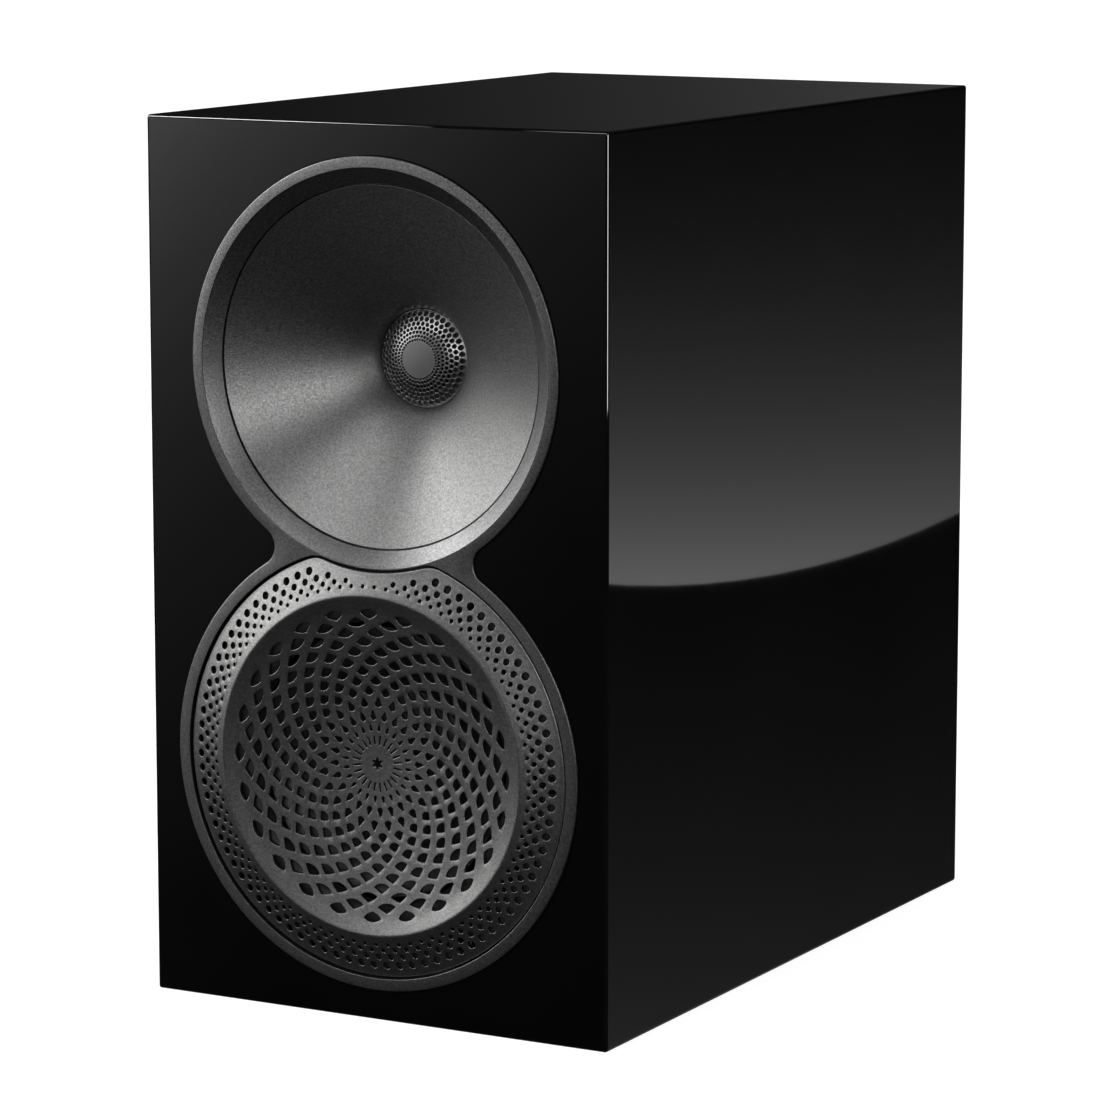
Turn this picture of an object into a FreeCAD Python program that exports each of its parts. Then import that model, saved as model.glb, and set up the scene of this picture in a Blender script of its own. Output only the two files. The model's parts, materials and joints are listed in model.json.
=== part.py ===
import FreeCAD, Part
import Sketcher
import math
import os
from FreeCAD import Placement, Rotation, Vector

# A two-way bookshelf loudspeaker, in millimetres.
# +Z is up, the drivers face -Y, and the origin is under the middle of the bounding box.

SIZES = {
    # cabinet
    "cabinet_width": 200.0,
    "cabinet_height": 343.0,
    "cabinet_depth": 320.0,
    "face_y": -158.5,          # front face of the baffle
    "wall": 18.0,              # sides, top, bottom and rear board
    "baffle": 25.0,            # front board
    "edge_round": 1.2,
    "brace_height": 176.0,     # middle of the shelf brace
    "brace_thick": 12.0,
    "foam_thick": 10.0,
    # trim plate, shaped like a figure eight
    "tweeter_height": 250.9,
    "woofer_height": 99.7,
    "trim_top_radius": 79.75,
    "trim_low_radius": 87.9,
    "neck_round": 7.5,
    "trim_proud": 1.0,
    "trim_seat": 4.0,          # depth of the trim plate's recess
    "trim_gap": 0.45,
    "bevel_outer": 75.3,
    "bevel_inner": 69.2,
    # waveguide
    "mouth_radius": 68.6,
    "mouth_depth": 4.3,
    "throat_radius": 19.2,
    "throat_depth": 39.5,
    "horn_flange": 75.0,
    "horn_seat": 8.0,          # depth of the waveguide flange's shoulder
    "horn_cutout": 66.0,
    "motor_flange": 40.0,
    "motor_depth": 42.0,       # back face of the waveguide
    # phase plate in front of the woofer
    "plate_radius": 82.3,
    "plate_notch": 76.9,
    "plate_corner": 12.0,
    "plate_gap": 0.6,
    "plate_thick": 1.5,
    "plate_skirt": 1.5,
    # woofer
    "frame_radius": 80.0,
    "frame_flat": 73.4,
    "frame_seat": 8.8,
    "woofer_cutout": 66.5,
    "cone_radius": 54.6,
    "coil_radius": 19.35,
    "pole_radius": 18.6,
    "gap_radius": 20.1,
    "woofer_bolt_circle": 75.6,
    "horn_bolt_circle": 72.4,
    # tweeter
    "lens_radius": 19.0,
    "lens_cap": 6.8,
    "lens_front": 34.0,
    "lens_base": 38.7,
    "dome_radius": 12.85,
    "tweeter_gap": 13.6,
    "tweeter_pole": 12.2,
    # rear
    "port_height": 250.0,
    "port_radius": 25.0,
    "port_wall": 2.5,
    "port_length": 120.0,
    "port_flange": 40.0,
    "port_collar": 10.0,
    "rear_proud": 1.9,
    "cup_height": 92.0,
    "cup_width": 76.0,
    "cup_tall": 48.0,
    "cup_deep": 20.0,
    "post_spacing": 19.0,
    "post_radius": 3.0,
    "socket_radius": 2.0,
    "socket_deep": 18.0,
    "knob_radius": 7.0,
    "board_width": 110.0,
    "board_length": 96.0,
    "wire_radius": 1.3,
}

FRONT = Rotation(Vector(1, 0, 0), 90)      # local +Z looks out of the baffle, local +Y is up
REAR = Rotation(Vector(0, 1, 1), 180)      # local +Z looks out of the rear board, local +Y is up
WOOD_SCREW, WOOFER_SCREW, CUP_SCREW, BOARD_SCREW = 1.7, 2.0, 1.6, 1.5      # shank radii
BOARD_Y, BOARD_Z = 12.0, 26.0              # the crossover board's front edge and underside

doc = FreeCAD.newDocument("speaker")
sheet = doc.addObject("Spreadsheet::Sheet", "dims")
for row, (alias, number) in enumerate(SIZES.items(), 1):
    sheet.set(f"A{row}", alias)
    sheet.set(f"B{row}", str(number))
    sheet.setAlias(f"B{row}", alias)
doc.recompute()


class Size:
    """A length that knows its number and the spreadsheet expression that gives it."""

    def __init__(self, value, text):
        self.value = value
        self.text = text

    def __add__(self, other):
        other = size(other)
        return Size(self.value + other.value, f"({self.text} + {other.text})")

    def __sub__(self, other):
        other = size(other)
        return Size(self.value - other.value, f"({self.text} - {other.text})")

    def __rsub__(self, other):
        return size(other) - self

    def __mul__(self, number):
        return Size(self.value * number, f"({self.text} * {number})")

    def __neg__(self):
        return Size(-self.value, f"(0 - {self.text})")

    __radd__ = __add__
    __rmul__ = __mul__


def size(number):
    return number if isinstance(number, Size) else Size(float(number), f"({float(number)})")


class Cells:
    """cells.wall is the size in the cell with that alias."""

    def __getattr__(self, alias):
        return Size(float(sheet.get(alias)), f"dims.{alias}")


cells = Cells()
NODES = {}


def keep(item, name):
    """Label a finished sub-part and list it for export."""
    item.Label = name
    NODES[name] = item
    return item


def bind(item, **sizes):
    for prop, value in sizes.items():
        item.setExpression(prop, size(value).text)
    return item


def place(item, x, y, z, rotation=Rotation()):
    item.Placement = Placement(Vector(size(x).value, size(y).value, size(z).value), rotation)
    for axis, value in zip("xyz", (x, y, z)):
        item.setExpression(f".Placement.Base.{axis}", size(value).text)
    return item


def front_of(item, height, depth=0):
    """Stand an item's local frame on a driver's axis, depth behind the baffle's face."""
    return place(item, 0, cells.face_y + depth, height, FRONT)


def box(name, low, span):
    item = doc.addObject("Part::Box", name)
    bind(item, Length=span[0], Width=span[1], Height=span[2])
    return place(item, *low)


def rod(name, radius, length, where, rotation):
    """A cylinder that starts at a point and runs along the rotated Z axis."""
    item = doc.addObject("Part::Cylinder", name)
    bind(item, Radius=radius, Height=length)
    return place(item, *where, rotation)


def cut(name, base, *tools):
    tool = tools[0]
    if len(tools) > 1:
        tool = doc.addObject("Part::MultiFuse", name + "_tools")
        tool.Shapes = list(tools)
    item = doc.addObject("Part::Cut", name)
    item.Base = base
    item.Tool = tool
    return item


def plane_of(body, role):
    return next(p for p in body.Origin.OriginFeatures if p.Role == role)


def sketch_in(body, role, name):
    sketch = body.newObject("Sketcher::SketchObject", name)
    sketch.AttachmentSupport = [(plane_of(body, role), "")]
    sketch.MapMode = "FlatFace"
    return sketch


BOW = "bow"


def polygon(sketch, corners):
    """A closed outline whose every corner is held by two bound distances from the origin.
    An entry (x, y, BOW) between two corners makes the side between them an arc through that point."""
    first = sketch.GeometryCount
    bows = {}
    held = []
    for entry in corners:
        if entry[-1] == BOW:
            bows[len(held) - 1] = Vector(size(entry[0]).value, size(entry[1]).value, 0)
        else:
            held.append((size(entry[0]), size(entry[1])))
    points = [Vector(x.value, y.value, 0) for x, y in held]
    count = len(points)
    ends = []
    for i, (a, b) in enumerate(zip(points, points[1:] + points[:1])):
        side = Part.Arc(a, bows[i], b) if i in bows else Part.LineSegment(a, b)
        sketch.addGeometry(side, False)
        forward = sketch.getPoint(first + i, 1).distanceToPoint(a) < 1e-6
        ends.append((1, 2) if forward else (2, 1))
        if i in bows:
            circle_of = side.toShape().Curve
            if abs(circle_of.Center.x) < 1e-6:
                sketch.addConstraint(Sketcher.Constraint("PointOnObject", first + i, 3, -2))
            else:
                sketch.addConstraint(Sketcher.Constraint("Radius", first + i, circle_of.Radius))
    for i in range(count):
        j = (i + 1) % count
        sketch.addConstraint(Sketcher.Constraint("Coincident", first + i, ends[i][1], first + j,
                                                 ends[j][0]))
    for i, (x, y) in enumerate(held):
        for kind, value, axis in (("DistanceX", x, -2), ("DistanceY", y, -1)):
            if abs(value.value) < 1e-9:
                sketch.addConstraint(Sketcher.Constraint("PointOnObject", first + i, ends[i][0], axis))
                continue
            bound = Sketcher.Constraint(kind, -1, 1, first + i, ends[i][0], value.value)
            sketch.setExpression(f"Constraints[{sketch.addConstraint(bound)}]", value.text)
    return sketch


def cap_bow(half_width, top, sag):
    """The point half-way along a spherical cap's profile: the arc's centre lies on the axis."""
    half_width, top = size(half_width).value, size(top).value
    radius = (half_width ** 2 + sag ** 2) / (2 * sag)
    turn = math.asin(half_width / radius) / 2
    return radius * math.sin(turn), top + radius * (1 - math.cos(turn)), BOW


def circle(sketch, radius, x=0, y=0):
    radius, x, y = size(radius), size(x), size(y)
    index = sketch.addGeometry(Part.Circle(Vector(x.value, y.value, 0), Vector(0, 0, 1), radius.value))
    held = [("Radius", radius, -2, (index,))]
    for kind, value, axis in (("DistanceX", x, -2), ("DistanceY", y, -1)):
        if abs(value.value) < 1e-9:
            sketch.addConstraint(Sketcher.Constraint("PointOnObject", index, 3, axis))
        else:
            held.append((kind, value, axis, (-1, 1, index, 3)))
    for kind, value, _, where in held:
        number = sketch.addConstraint(Sketcher.Constraint(kind, *where, value.value))
        sketch.setExpression(f"Constraints[{number}]", value.text)


def turned(name, profile, height=None, depth=0):
    """A body of revolution about the local Z axis; the profile's points are (radius, depth)."""
    body = doc.addObject("PartDesign::Body", name)
    sketch = sketch_in(body, "XZ_Plane", name + "_profile")
    polygon(sketch, [(r, -size(d), *bow) for r, d, *bow in profile])
    turn = body.newObject("PartDesign::Revolution", name + "_turn")
    turn.Profile = sketch
    turn.ReferenceAxis = (sketch, ["V_Axis"])
    turn.Angle = 360
    body.Tip = turn
    if height is not None:
        front_of(body, height, depth)
    return body


def pocket(body, sketch, length, reversed_way=False, through=False):
    feature = body.newObject("PartDesign::Pocket", sketch.Name + "_pocket")
    feature.Profile = sketch
    if through:
        feature.Type = "ThroughAll"
        feature.Midplane = True
    else:
        bind(feature, Length=length)
        feature.Reversed = reversed_way
    return feature


def solid_part(name, shape, where=None):
    """A sub-part whose shape is made by formula."""
    item = doc.addObject("Part::Feature", name)
    item.Shape = shape
    if where is not None:
        item.Placement = where
    return keep(item, name)


def on_axis(height):
    return Placement(Vector(0, cells.face_y.value, height.value), FRONT)


def revolved(edges):
    """Solid of revolution about local Z from edges in the XZ plane."""
    shape = Part.Face(Part.Wire(edges)).revolve(Vector(), Vector(0, 0, 1), 360)
    return shape if shape.Volume > 0 else shape.reversed()


def at(r, d):
    """A profile point at radius r and depth d behind the baffle's face."""
    return Vector(r, 0, -d)


def lines(*points):
    return [Part.LineSegment(a, b).toShape() for a, b in zip(points, points[1:])]


def arc(a, middle, b):
    return Part.Arc(a, middle, b).toShape()


def spline(points):
    curve = Part.BSplineCurve()
    curve.interpolate(points)
    return curve.toShape()


def around(shape, count, start=0.0):
    """Copies of a shape turned evenly about the local Z axis."""
    turns = [Placement(Vector(), Rotation(Vector(0, 0, 1), start + 360.0 * i / count))
             for i in range(count)]
    return [shape.transformed(turn.toMatrix()) for turn in turns]


# ---------------------------------------------------------------- outlines made of tangent arcs

def meeting(c1, r1, c2, r2):
    """The point with x above zero that lies r1 from (0, c1) and r2 from (0, c2)."""
    gap = c1 - c2
    along = (gap * gap + r1 * r1 - r2 * r2) / (2 * gap)
    return Vector(math.sqrt(r1 * r1 - along * along), c1 - along, 0)


def toward(centre, other, radius):
    """The point at a radius from the centre, on the way to the other point."""
    return centre + (other - centre).normalize() * radius


def mirrored(p):
    return Vector(-p.x, p.y, 0)


def arc_loop(sketch, top, low, side, joints, crest):
    """Four tangent arcs: one about the top centre, one about the low centre and two small ones at the sides.
    top, low and side are (centre, radius); crest is the top arc's middle point."""
    (c_top, r_top), (c_low, r_low), (c_side, r_side) = top, low, side
    upper, lower = joints
    outward = toward(c_side, (upper + lower) * 0.5, r_side.value)
    pieces = [
        Part.Arc(mirrored(upper), crest, upper),
        Part.Arc(upper, outward, lower),
        Part.Arc(lower, c_low - Vector(0, r_low.value, 0), mirrored(lower)),
        Part.Arc(mirrored(lower), mirrored(outward), mirrored(upper)),
    ]
    base = sketch.GeometryCount
    for piece in pieces:
        sketch.addGeometry(piece, False)
    ends = []
    for i, piece in enumerate(pieces):
        a = sketch.getPoint(base + i, 1)
        start_first = a.distanceToPoint(piece.StartPoint) < 1e-6
        ends.append((1, 2) if start_first else (2, 1))
    for i in range(4):
        j = (i + 1) % 4
        joint = Sketcher.Constraint("Tangent", base + i, ends[i][1], base + j, ends[j][0])
        sketch.addConstraint(joint)
    for index, radius in ((base, r_top), (base + 2, r_low), (base + 1, r_side), (base + 3, r_side)):
        number = sketch.addConstraint(Sketcher.Constraint("Radius", index, radius.value))
        sketch.setExpression(f"Constraints[{number}]", radius.text)
    sketch.addConstraint(Sketcher.Constraint("PointOnObject", base, 3, -2))
    sketch.addConstraint(Sketcher.Constraint("PointOnObject", base + 2, 3, -2))
    sketch.addConstraint(Sketcher.Constraint("PointOnObject", base, 3, -1))
    drop = cells.woofer_height - cells.tweeter_height
    number = sketch.addConstraint(Sketcher.Constraint("DistanceY", -1, 1, base + 2, 3, drop.value))
    sketch.setExpression(f"Constraints[{number}]", drop.text)


def trim_outline(sketch, grow):
    """Figure eight round the two drivers, about the tweeter's centre, with rounded necks."""
    grow = size(grow)
    top, low = cells.trim_top_radius + grow, cells.trim_low_radius + grow
    neck = cells.neck_round - grow
    c_top = Vector(0, 0, 0)
    c_low = Vector(0, cells.woofer_height.value - cells.tweeter_height.value, 0)
    c_side = meeting(0, (top + neck).value, c_low.y, (low + neck).value)
    joints = (toward(c_top, c_side, top.value), toward(c_low, c_side, low.value))
    arc_loop(sketch, (c_top, top), (c_low, low), (c_side, neck), joints, Vector(0, top.value, 0))


def plate_outline(sketch, grow):
    """Disc about the woofer's centre with a shallow notch that follows the waveguide."""
    grow = size(grow)
    notch, low = cells.plate_notch - grow, cells.plate_radius + grow
    corner = cells.plate_corner + grow
    c_top = Vector(0, 0, 0)
    c_low = Vector(0, cells.woofer_height.value - cells.tweeter_height.value, 0)
    c_side = meeting(0, (notch + corner).value, c_low.y, (low - corner).value)
    joints = (toward(c_top, c_side, notch.value), c_low + (c_side - c_low).normalize() * low.value)
    arc_loop(sketch, (c_top, notch), (c_low, low), (c_side, corner), joints, Vector(0, -notch.value, 0))


def loose_sketch(name, draw, grow, lift):
    """A sketch on the tweeter's axis, lifted off the baffle's face, for an extrusion."""
    sketch = doc.addObject("Sketcher::SketchObject", name)
    draw(sketch, grow)
    return front_of(sketch, cells.tweeter_height, -size(lift))


def extruded(name, sketch, length):
    item = doc.addObject("Part::Extrusion", name)
    item.Base = sketch
    item.DirMode = "Normal"
    item.Solid = True
    item.Reversed = True
    bind(item, LengthFwd=length)
    return item


def hole_ring(name, radius, ring, count, start, y, length, height):
    """Rods for drilling a ring of holes along +Y about a driver's axis."""
    inward = Rotation(Vector(1, 0, 0), -90)
    turns = [math.radians(start + 360.0 * i / count) for i in range(count)]
    return [rod(f"{name}_{i}", radius, length, (ring * round(math.cos(a), 9), y,
                                                height + ring * round(math.sin(a), 9)), inward)
            for i, a in enumerate(turns)]


# ---------------------------------------------------------------- cabinet

def rounded_box(name, low, span, wanted):
    """A board whose chosen edges are rounded; wanted tests an edge's two ends."""
    board = box(name + "_board", low, span)
    doc.recompute()
    radius = cells.edge_round.value
    edges = []
    for number, edge in enumerate(board.Shape.Edges, 1):
        if wanted(edge.Vertexes[0].Point, edge.Vertexes[1].Point):
            edges.append((number, radius, radius))
    item = doc.addObject("Part::Fillet", name)
    item.Base = board
    item.Edges = edges
    return item


def cup_corners():
    """The four screw positions round the terminal cup's flange."""
    across, up = cells.cup_width * 0.5 + 5.5, cells.cup_tall * 0.5 + 5.5
    return [(across * sx, cells.cup_height + up * sz) for sx,
            sz in ((-1, -1), (1, -1), (1, 1), (-1, 1))]


def board_corners():
    """The four screw positions of the crossover board."""
    return [(sx * 49.0, BOARD_Y + y) for sx in (-1, 1) for y in (6.0, 90.0)]


def cabinet():
    width, height, wall = cells.cabinet_width, cells.cabinet_height, cells.wall
    left = width * -0.5
    back = cells.face_y + cells.cabinet_depth
    inside_y = cells.face_y + cells.baffle
    inside_deep = cells.cabinet_depth - cells.baffle - wall

    def outer_face(y):
        def wanted(a, b):
            along_depth = abs(a.y - b.y) > 1
            on_face = abs(a.y - y) < 0.01 and abs(b.y - y) < 0.01
            return along_depth or on_face
        return wanted

    board = rounded_box("baffle_board", (left, cells.face_y, 0), (width, cells.baffle, height),
                        outer_face(cells.face_y.value))
    recess = extruded("trim_recess", loose_sketch("trim_recess_line", trim_outline, cells.trim_gap, 2),
                      cells.trim_seat + 2)
    tweeter, woofer, face = cells.tweeter_height, cells.woofer_height, cells.face_y
    inward = Rotation(Vector(1, 0, 0), -90)
    horn_seat = rod("horn_seat_tool", cells.horn_flange + 0.3, cells.horn_seat + 1,
                    (0, face - 1, tweeter), inward)
    horn_hole = rod("horn_hole_tool", cells.horn_cutout, cells.baffle + 2, (0, face - 1, tweeter),
                    inward)
    woofer_hole = rod("woofer_hole_tool", cells.woofer_cutout, cells.baffle + 2, (0, face - 1, woofer),
                      inward)
    seat_round = rod("woofer_seat_round", cells.frame_radius + 0.4, cells.frame_seat + 1,
                     (0, face - 1, woofer), inward)
    seat_limit = box("woofer_seat_limit", (left, face - 2, 0),
                     (width, cells.frame_seat + 4, woofer + cells.frame_flat + 0.4))
    seat = doc.addObject("Part::Common", "woofer_seat_tool")
    seat.Base = seat_round
    seat.Tool = seat_limit
    pilots = hole_ring("horn_pilot", WOOD_SCREW, cells.horn_bolt_circle, 6, 30, face + 7, 13.2, tweeter)
    pilots += hole_ring("woofer_pilot", WOOFER_SCREW, cells.woofer_bolt_circle, 6, 0, face + 7, 15.2,
                        woofer)
    keep(cut("front_baffle_cut", board, recess, horn_seat, horn_hole, woofer_hole, seat, *pilots),
         "front_baffle")

    rear = rounded_box("rear_board", (left, back - wall, 0), (width, wall, height),
                       outer_face(back.value))
    port = rod("port_hole_tool", cells.port_radius + cells.port_wall + 0.2, wall + 2,
               (0, back - wall - 1, cells.port_height), inward)
    window = box("cup_window_tool", (cells.cup_width * -0.5 - 0.3, back - wall - 1,
                                     cells.cup_height - cells.cup_tall * 0.5 - 0.3),
                 (cells.cup_width + 0.6, wall + 2, cells.cup_tall + 0.6))
    pilots = [rod(f"cup_pilot_{i}", CUP_SCREW, 13, (x, back - 12.2, z), inward) for i,
              (x, z) in enumerate(cup_corners())]
    collar = rod("port_collar_tool", cells.port_radius + 12.8, cells.port_collar + 1.3,
                 (0, back - cells.port_collar - 0.3, cells.port_height), inward)
    keep(cut("rear_panel_cut", rear, port, collar, window, *pilots), "rear_panel")

    def long_edges_at(z):
        def wanted(a, b):
            return abs(a.y - b.y) > 1 and abs(a.z - z) < 0.01
        return wanted

    keep(rounded_box("top_panel", (left, inside_y, height - wall), (width, inside_deep, wall),
                     long_edges_at(height.value)), "top_panel")
    floor = rounded_box("bottom_board", (left, inside_y, 0), (width, inside_deep, wall),
                        long_edges_at(0))
    pilots = [rod(f"board_pilot_{i}", BOARD_SCREW, wall - 11, (x, y, 11), Rotation()) for i,
              (x, y) in enumerate(board_corners())]
    keep(cut("bottom_panel_cut", floor, *pilots), "bottom_panel")
    for side, x in (("left", left), ("right", width * 0.5 - wall)):
        panel = box(side + "_side", (x, inside_y, wall), (wall, inside_deep, height - wall * 2))
        keep(panel, side + "_side_panel")

    inner_left = left + wall
    brace_low = cells.brace_height - cells.brace_thick * 0.5
    brace = box("brace_board", (inner_left, inside_y + 35, brace_low),
                (width - wall * 2, inside_deep - 35, cells.brace_thick))
    windows = [
        box(f"brace_window_{i}", (x, inside_y + y, brace_low - 1), (span_x, 88, cells.brace_thick + 2))
        for i, (x, y, span_x) in enumerate([(-66, 60, 56), (10, 60, 56), (-66, 170, 56), (10, 170, 56)])
    ]
    keep(cut("window_brace_cut", brace, *windows), "window_brace")

    slabs = []
    for i, (low_z, tall) in enumerate(((wall + 14, brace_low - wall - 20),
                                       (brace_low + 18, height - wall - brace_low - 24))):
        for side, x in (("l", inner_left), ("r", -inner_left - cells.foam_thick)):
            slabs.append(box(f"foam_{side}{i}", (x, inside_y + 60, low_z),
                             (cells.foam_thick, inside_deep - 80, tall)))
    group("acoustic_foam", slabs)


# ---------------------------------------------------------------- trim plate and waveguide

def trim_plate():
    body = doc.addObject("PartDesign::Body", "trim_plate_body")
    outer = sketch_in(body, "XY_Plane", "trim_outer")
    trim_outline(outer, 0)
    pad = body.newObject("PartDesign::Pad", "trim_pad")
    pad.Profile = outer
    bind(pad, Length=cells.trim_proud + cells.trim_seat)
    doc.recompute()
    rim = [f"Edge{i}" for i, e in enumerate(pad.Shape.Edges, 1)
           if abs(e.BoundBox.ZMin - pad.Shape.BoundBox.ZMax) < 1e-6]
    chamfer = body.newObject("PartDesign::Chamfer", "trim_edge")
    chamfer.Base = (pad, rim)
    chamfer.Size = 0.5
    hole = sketch_in(body, "XY_Plane", "phase_plate_hole")
    plate_outline(hole, cells.plate_gap)
    doc.recompute()
    pocket(body, hole, 0, through=True)
    bevel = sketch_in(body, "XZ_Plane", "waveguide_bevel")
    top = cells.trim_proud + cells.trim_seat
    polygon(bevel, [(0, -1), (cells.bevel_inner, -1), (cells.bevel_inner, 0), (cells.bevel_outer, top),
                    (cells.bevel_outer, top + 1), (0, top + 1)])
    groove = body.newObject("PartDesign::Groove", "bevel_cut")
    groove.Profile = bevel
    groove.ReferenceAxis = (bevel, ["V_Axis"])
    groove.Angle = 360
    body.Tip = groove
    front_of(body, cells.tweeter_height, cells.trim_seat)
    keep(body, "trim_plate")


def horn_radius(depth):
    """Oblate spheroidal flare: the radius at a depth behind the baffle's face."""
    throat, mouth = cells.throat_radius.value, cells.mouth_radius.value
    length = cells.throat_depth.value - cells.mouth_depth.value
    slope = math.sqrt(mouth ** 2 - throat ** 2) / length
    return math.hypot(throat, (cells.throat_depth.value - depth) * slope)


def waveguide():
    mouth, deep = cells.mouth_depth.value, cells.throat_depth.value
    steps = 12
    depths = [mouth + (deep - mouth) * i / steps for i in range(steps + 1)]
    flare = spline([at(horn_radius(d), d) for d in depths])
    lip, land, flange = cells.mouth_radius.value, cells.bevel_inner.value + 0.5, cells.horn_flange.value
    seat, front = cells.horn_seat.value, cells.trim_seat.value
    throat, back, motor = cells.throat_radius.value, cells.motor_depth.value, cells.motor_flange.value
    wall = 3.4
    shell = [at(horn_radius(d) + wall, d) for d in (12, 20, 28)]
    outside = lines(
        at(lip, mouth), at(lip + 0.4, mouth + 0.3), at(lip + 0.4, mouth + 2.0), at(land, mouth + 2.0),
        at(land, front),
        at(flange, front), at(flange, seat), at(cells.horn_cutout.value - 0.6, seat), *shell,
        at(motor - 8, 36), at(motor, 36), at(motor, back), at(throat, back), at(throat, deep))
    shape = revolved([flare] + outside)
    ring = cells.horn_bolt_circle.value
    bolt = Part.makeCylinder(1.9, 20, Vector(ring, 0, -20))
    sink = Part.makeCone(2.9, 1.9, 1.9, Vector(ring, 0, -front), Vector(0, 0, -1))
    shape = shape.cut(Part.makeCompound(around(bolt.fuse(sink), 6, 30)))
    tapped = Part.makeCylinder(1.4, 4, Vector(37, 0, -back))
    shape = shape.cut(Part.makeCompound(around(tapped, 3, 90)))
    solid_part("waveguide", shape, on_axis(cells.tweeter_height))


def countersunk(x, depth, length, radius):
    """A countersunk screw whose flat head lies at a depth, pointing into the cabinet."""
    head = radius * 1.6
    shank = Part.makeCylinder(radius, length, Vector(x, 0, -depth), Vector(0, 0, -1))
    cone = Part.makeCone(head, radius, head - radius, Vector(x, 0, -depth), Vector(0, 0, -1))
    drive = Part.makeBox(1.6, 0.6, 0.7, Vector(x - 0.8, -0.3, -depth - 0.7))
    return shank.fuse(cone).cut(drive)


def pan_head(x, depth, length, radius, head, tall):
    """A round-headed screw whose head stands on the face at a depth."""
    shank = Part.makeCylinder(radius, length, Vector(x, 0, -depth), Vector(0, 0, -1))
    cap = Part.makeCylinder(head, tall, Vector(x, 0, -depth))
    cap = cap.makeFillet(tall * 0.4, [e for e in cap.Edges if e.BoundBox.ZMin > -depth + tall - 1e-6])
    socket = Part.makeCylinder(head * 0.45, tall * 0.5, Vector(x, 0, -depth + tall * 0.5))
    return shank.fuse(cap).cut(socket)


def fasteners():
    screws = around(countersunk(cells.horn_bolt_circle.value, cells.trim_seat.value, 16, WOOD_SCREW), 6,
                    30)
    solid_part("waveguide_screws", Part.makeCompound(screws), on_axis(cells.tweeter_height))
    bolts = around(pan_head(cells.woofer_bolt_circle.value, cells.trim_seat.value, 18, WOOFER_SCREW,
                            3.8, 2.6), 6)
    solid_part("woofer_screws", Part.makeCompound(bolts), on_axis(cells.woofer_height))


# ---------------------------------------------------------------- tweeter

def tweeter():
    z = cells.tweeter_height
    back, gap = cells.motor_depth, cells.tweeter_gap
    plate = turned("tweeter_top", [(gap, back), (cells.motor_flange, back),
                                   (cells.motor_flange, back + 4), (gap, back + 4)], z)
    holes = sketch_in(plate, "XY_Plane", "tweeter_bolt_hole")
    circle(holes, 1.6, 0, 37)
    doc.recompute()
    cutter = pocket(plate, holes, 0, through=True)
    doc.recompute()
    pattern = plate.newObject("PartDesign::PolarPattern", "tweeter_bolt_ring")
    pattern.Originals = [cutter]
    pattern.Axis = (holes, ["N_Axis"])
    pattern.Angle = 360
    pattern.Occurrences = 3
    plate.Tip = pattern
    keep(plate, "tweeter_top_plate")
    keep(turned("tweeter_ring", [(18, back + 4), (34, back + 4), (34, back + 16), (18, back + 16)], z),
         "tweeter_magnet")
    pole = cells.tweeter_pole
    keep(turned("tweeter_back", [(4, back + 0.6), (pole, back + 0.6), (pole, back + 16),
                                 (33, back + 16),
                                 (33, back + 21), (4, back + 21)], z), "tweeter_yoke")
    keep(turned("tweeter_cup", [(24, back + 21), (26, back + 21), (26, back + 42), (0, back + 42),
                                (0, back + 40), (24, back + 40)], z), "tweeter_rear_chamber")
    rear = back.value + 4
    bolt = pan_head(37, 0, 7, 1.4, 2.6, 2.0)
    bolt.rotate(Vector(), Vector(1, 0, 0), 180)
    bolt.translate(Vector(0, 0, -rear))
    solid_part("tweeter_screws", Part.makeCompound(around(bolt, 3, 90)), on_axis(z))
    radius = cells.dome_radius
    rim = back - 0.8
    tall, thick = 4.6, 0.35
    keep(turned("tweeter_shell", [
        (0, rim - tall), cap_bow(radius, rim - tall, tall), (radius, rim), (radius - thick, rim + 0.1),
        cap_bow(radius - thick, rim - tall + thick, tall - thick + 0.1), (0, rim - tall + thick)], z),
        "tweeter_dome")
    inner = radius + 0.02
    keep(turned("tweeter_roll", [
        (inner, rim + 0.3), (inner, rim), (inner + 1.3, rim - 1.1, BOW), (inner + 2.6, rim + 0.1),
        (17.6, rim + 0.1),
        (17.6, rim + 0.4), (inner + 2.5, rim + 0.4), (inner + 1.3, rim - 0.7, BOW)], z),
        "tweeter_surround")
    former = radius - 0.3
    keep(turned("tweeter_tube", [(former, rim + 0.3), (former + 0.25, rim + 0.3),
                                 (former + 0.25, rim + 6.5), (former, rim + 6.5)], z),
         "tweeter_former")
    keep(turned("tweeter_winding", [(former + 0.25, rim + 1.2), (former + 0.6, rim + 1.2),
                                    (former + 0.6, rim + 4.8),
                                    (former + 0.25, rim + 4.8)], z), "tweeter_coil")


def lens_depth(r):
    """Front surface of the tweeter's phase plug."""
    cap, edge = cells.lens_cap.value, cells.lens_radius.value
    front, base = cells.lens_front.value, cells.lens_base.value
    if r <= cap:
        return front
    return front + (base - front) * ((r - cap) / (edge - cap)) ** 1.7


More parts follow.
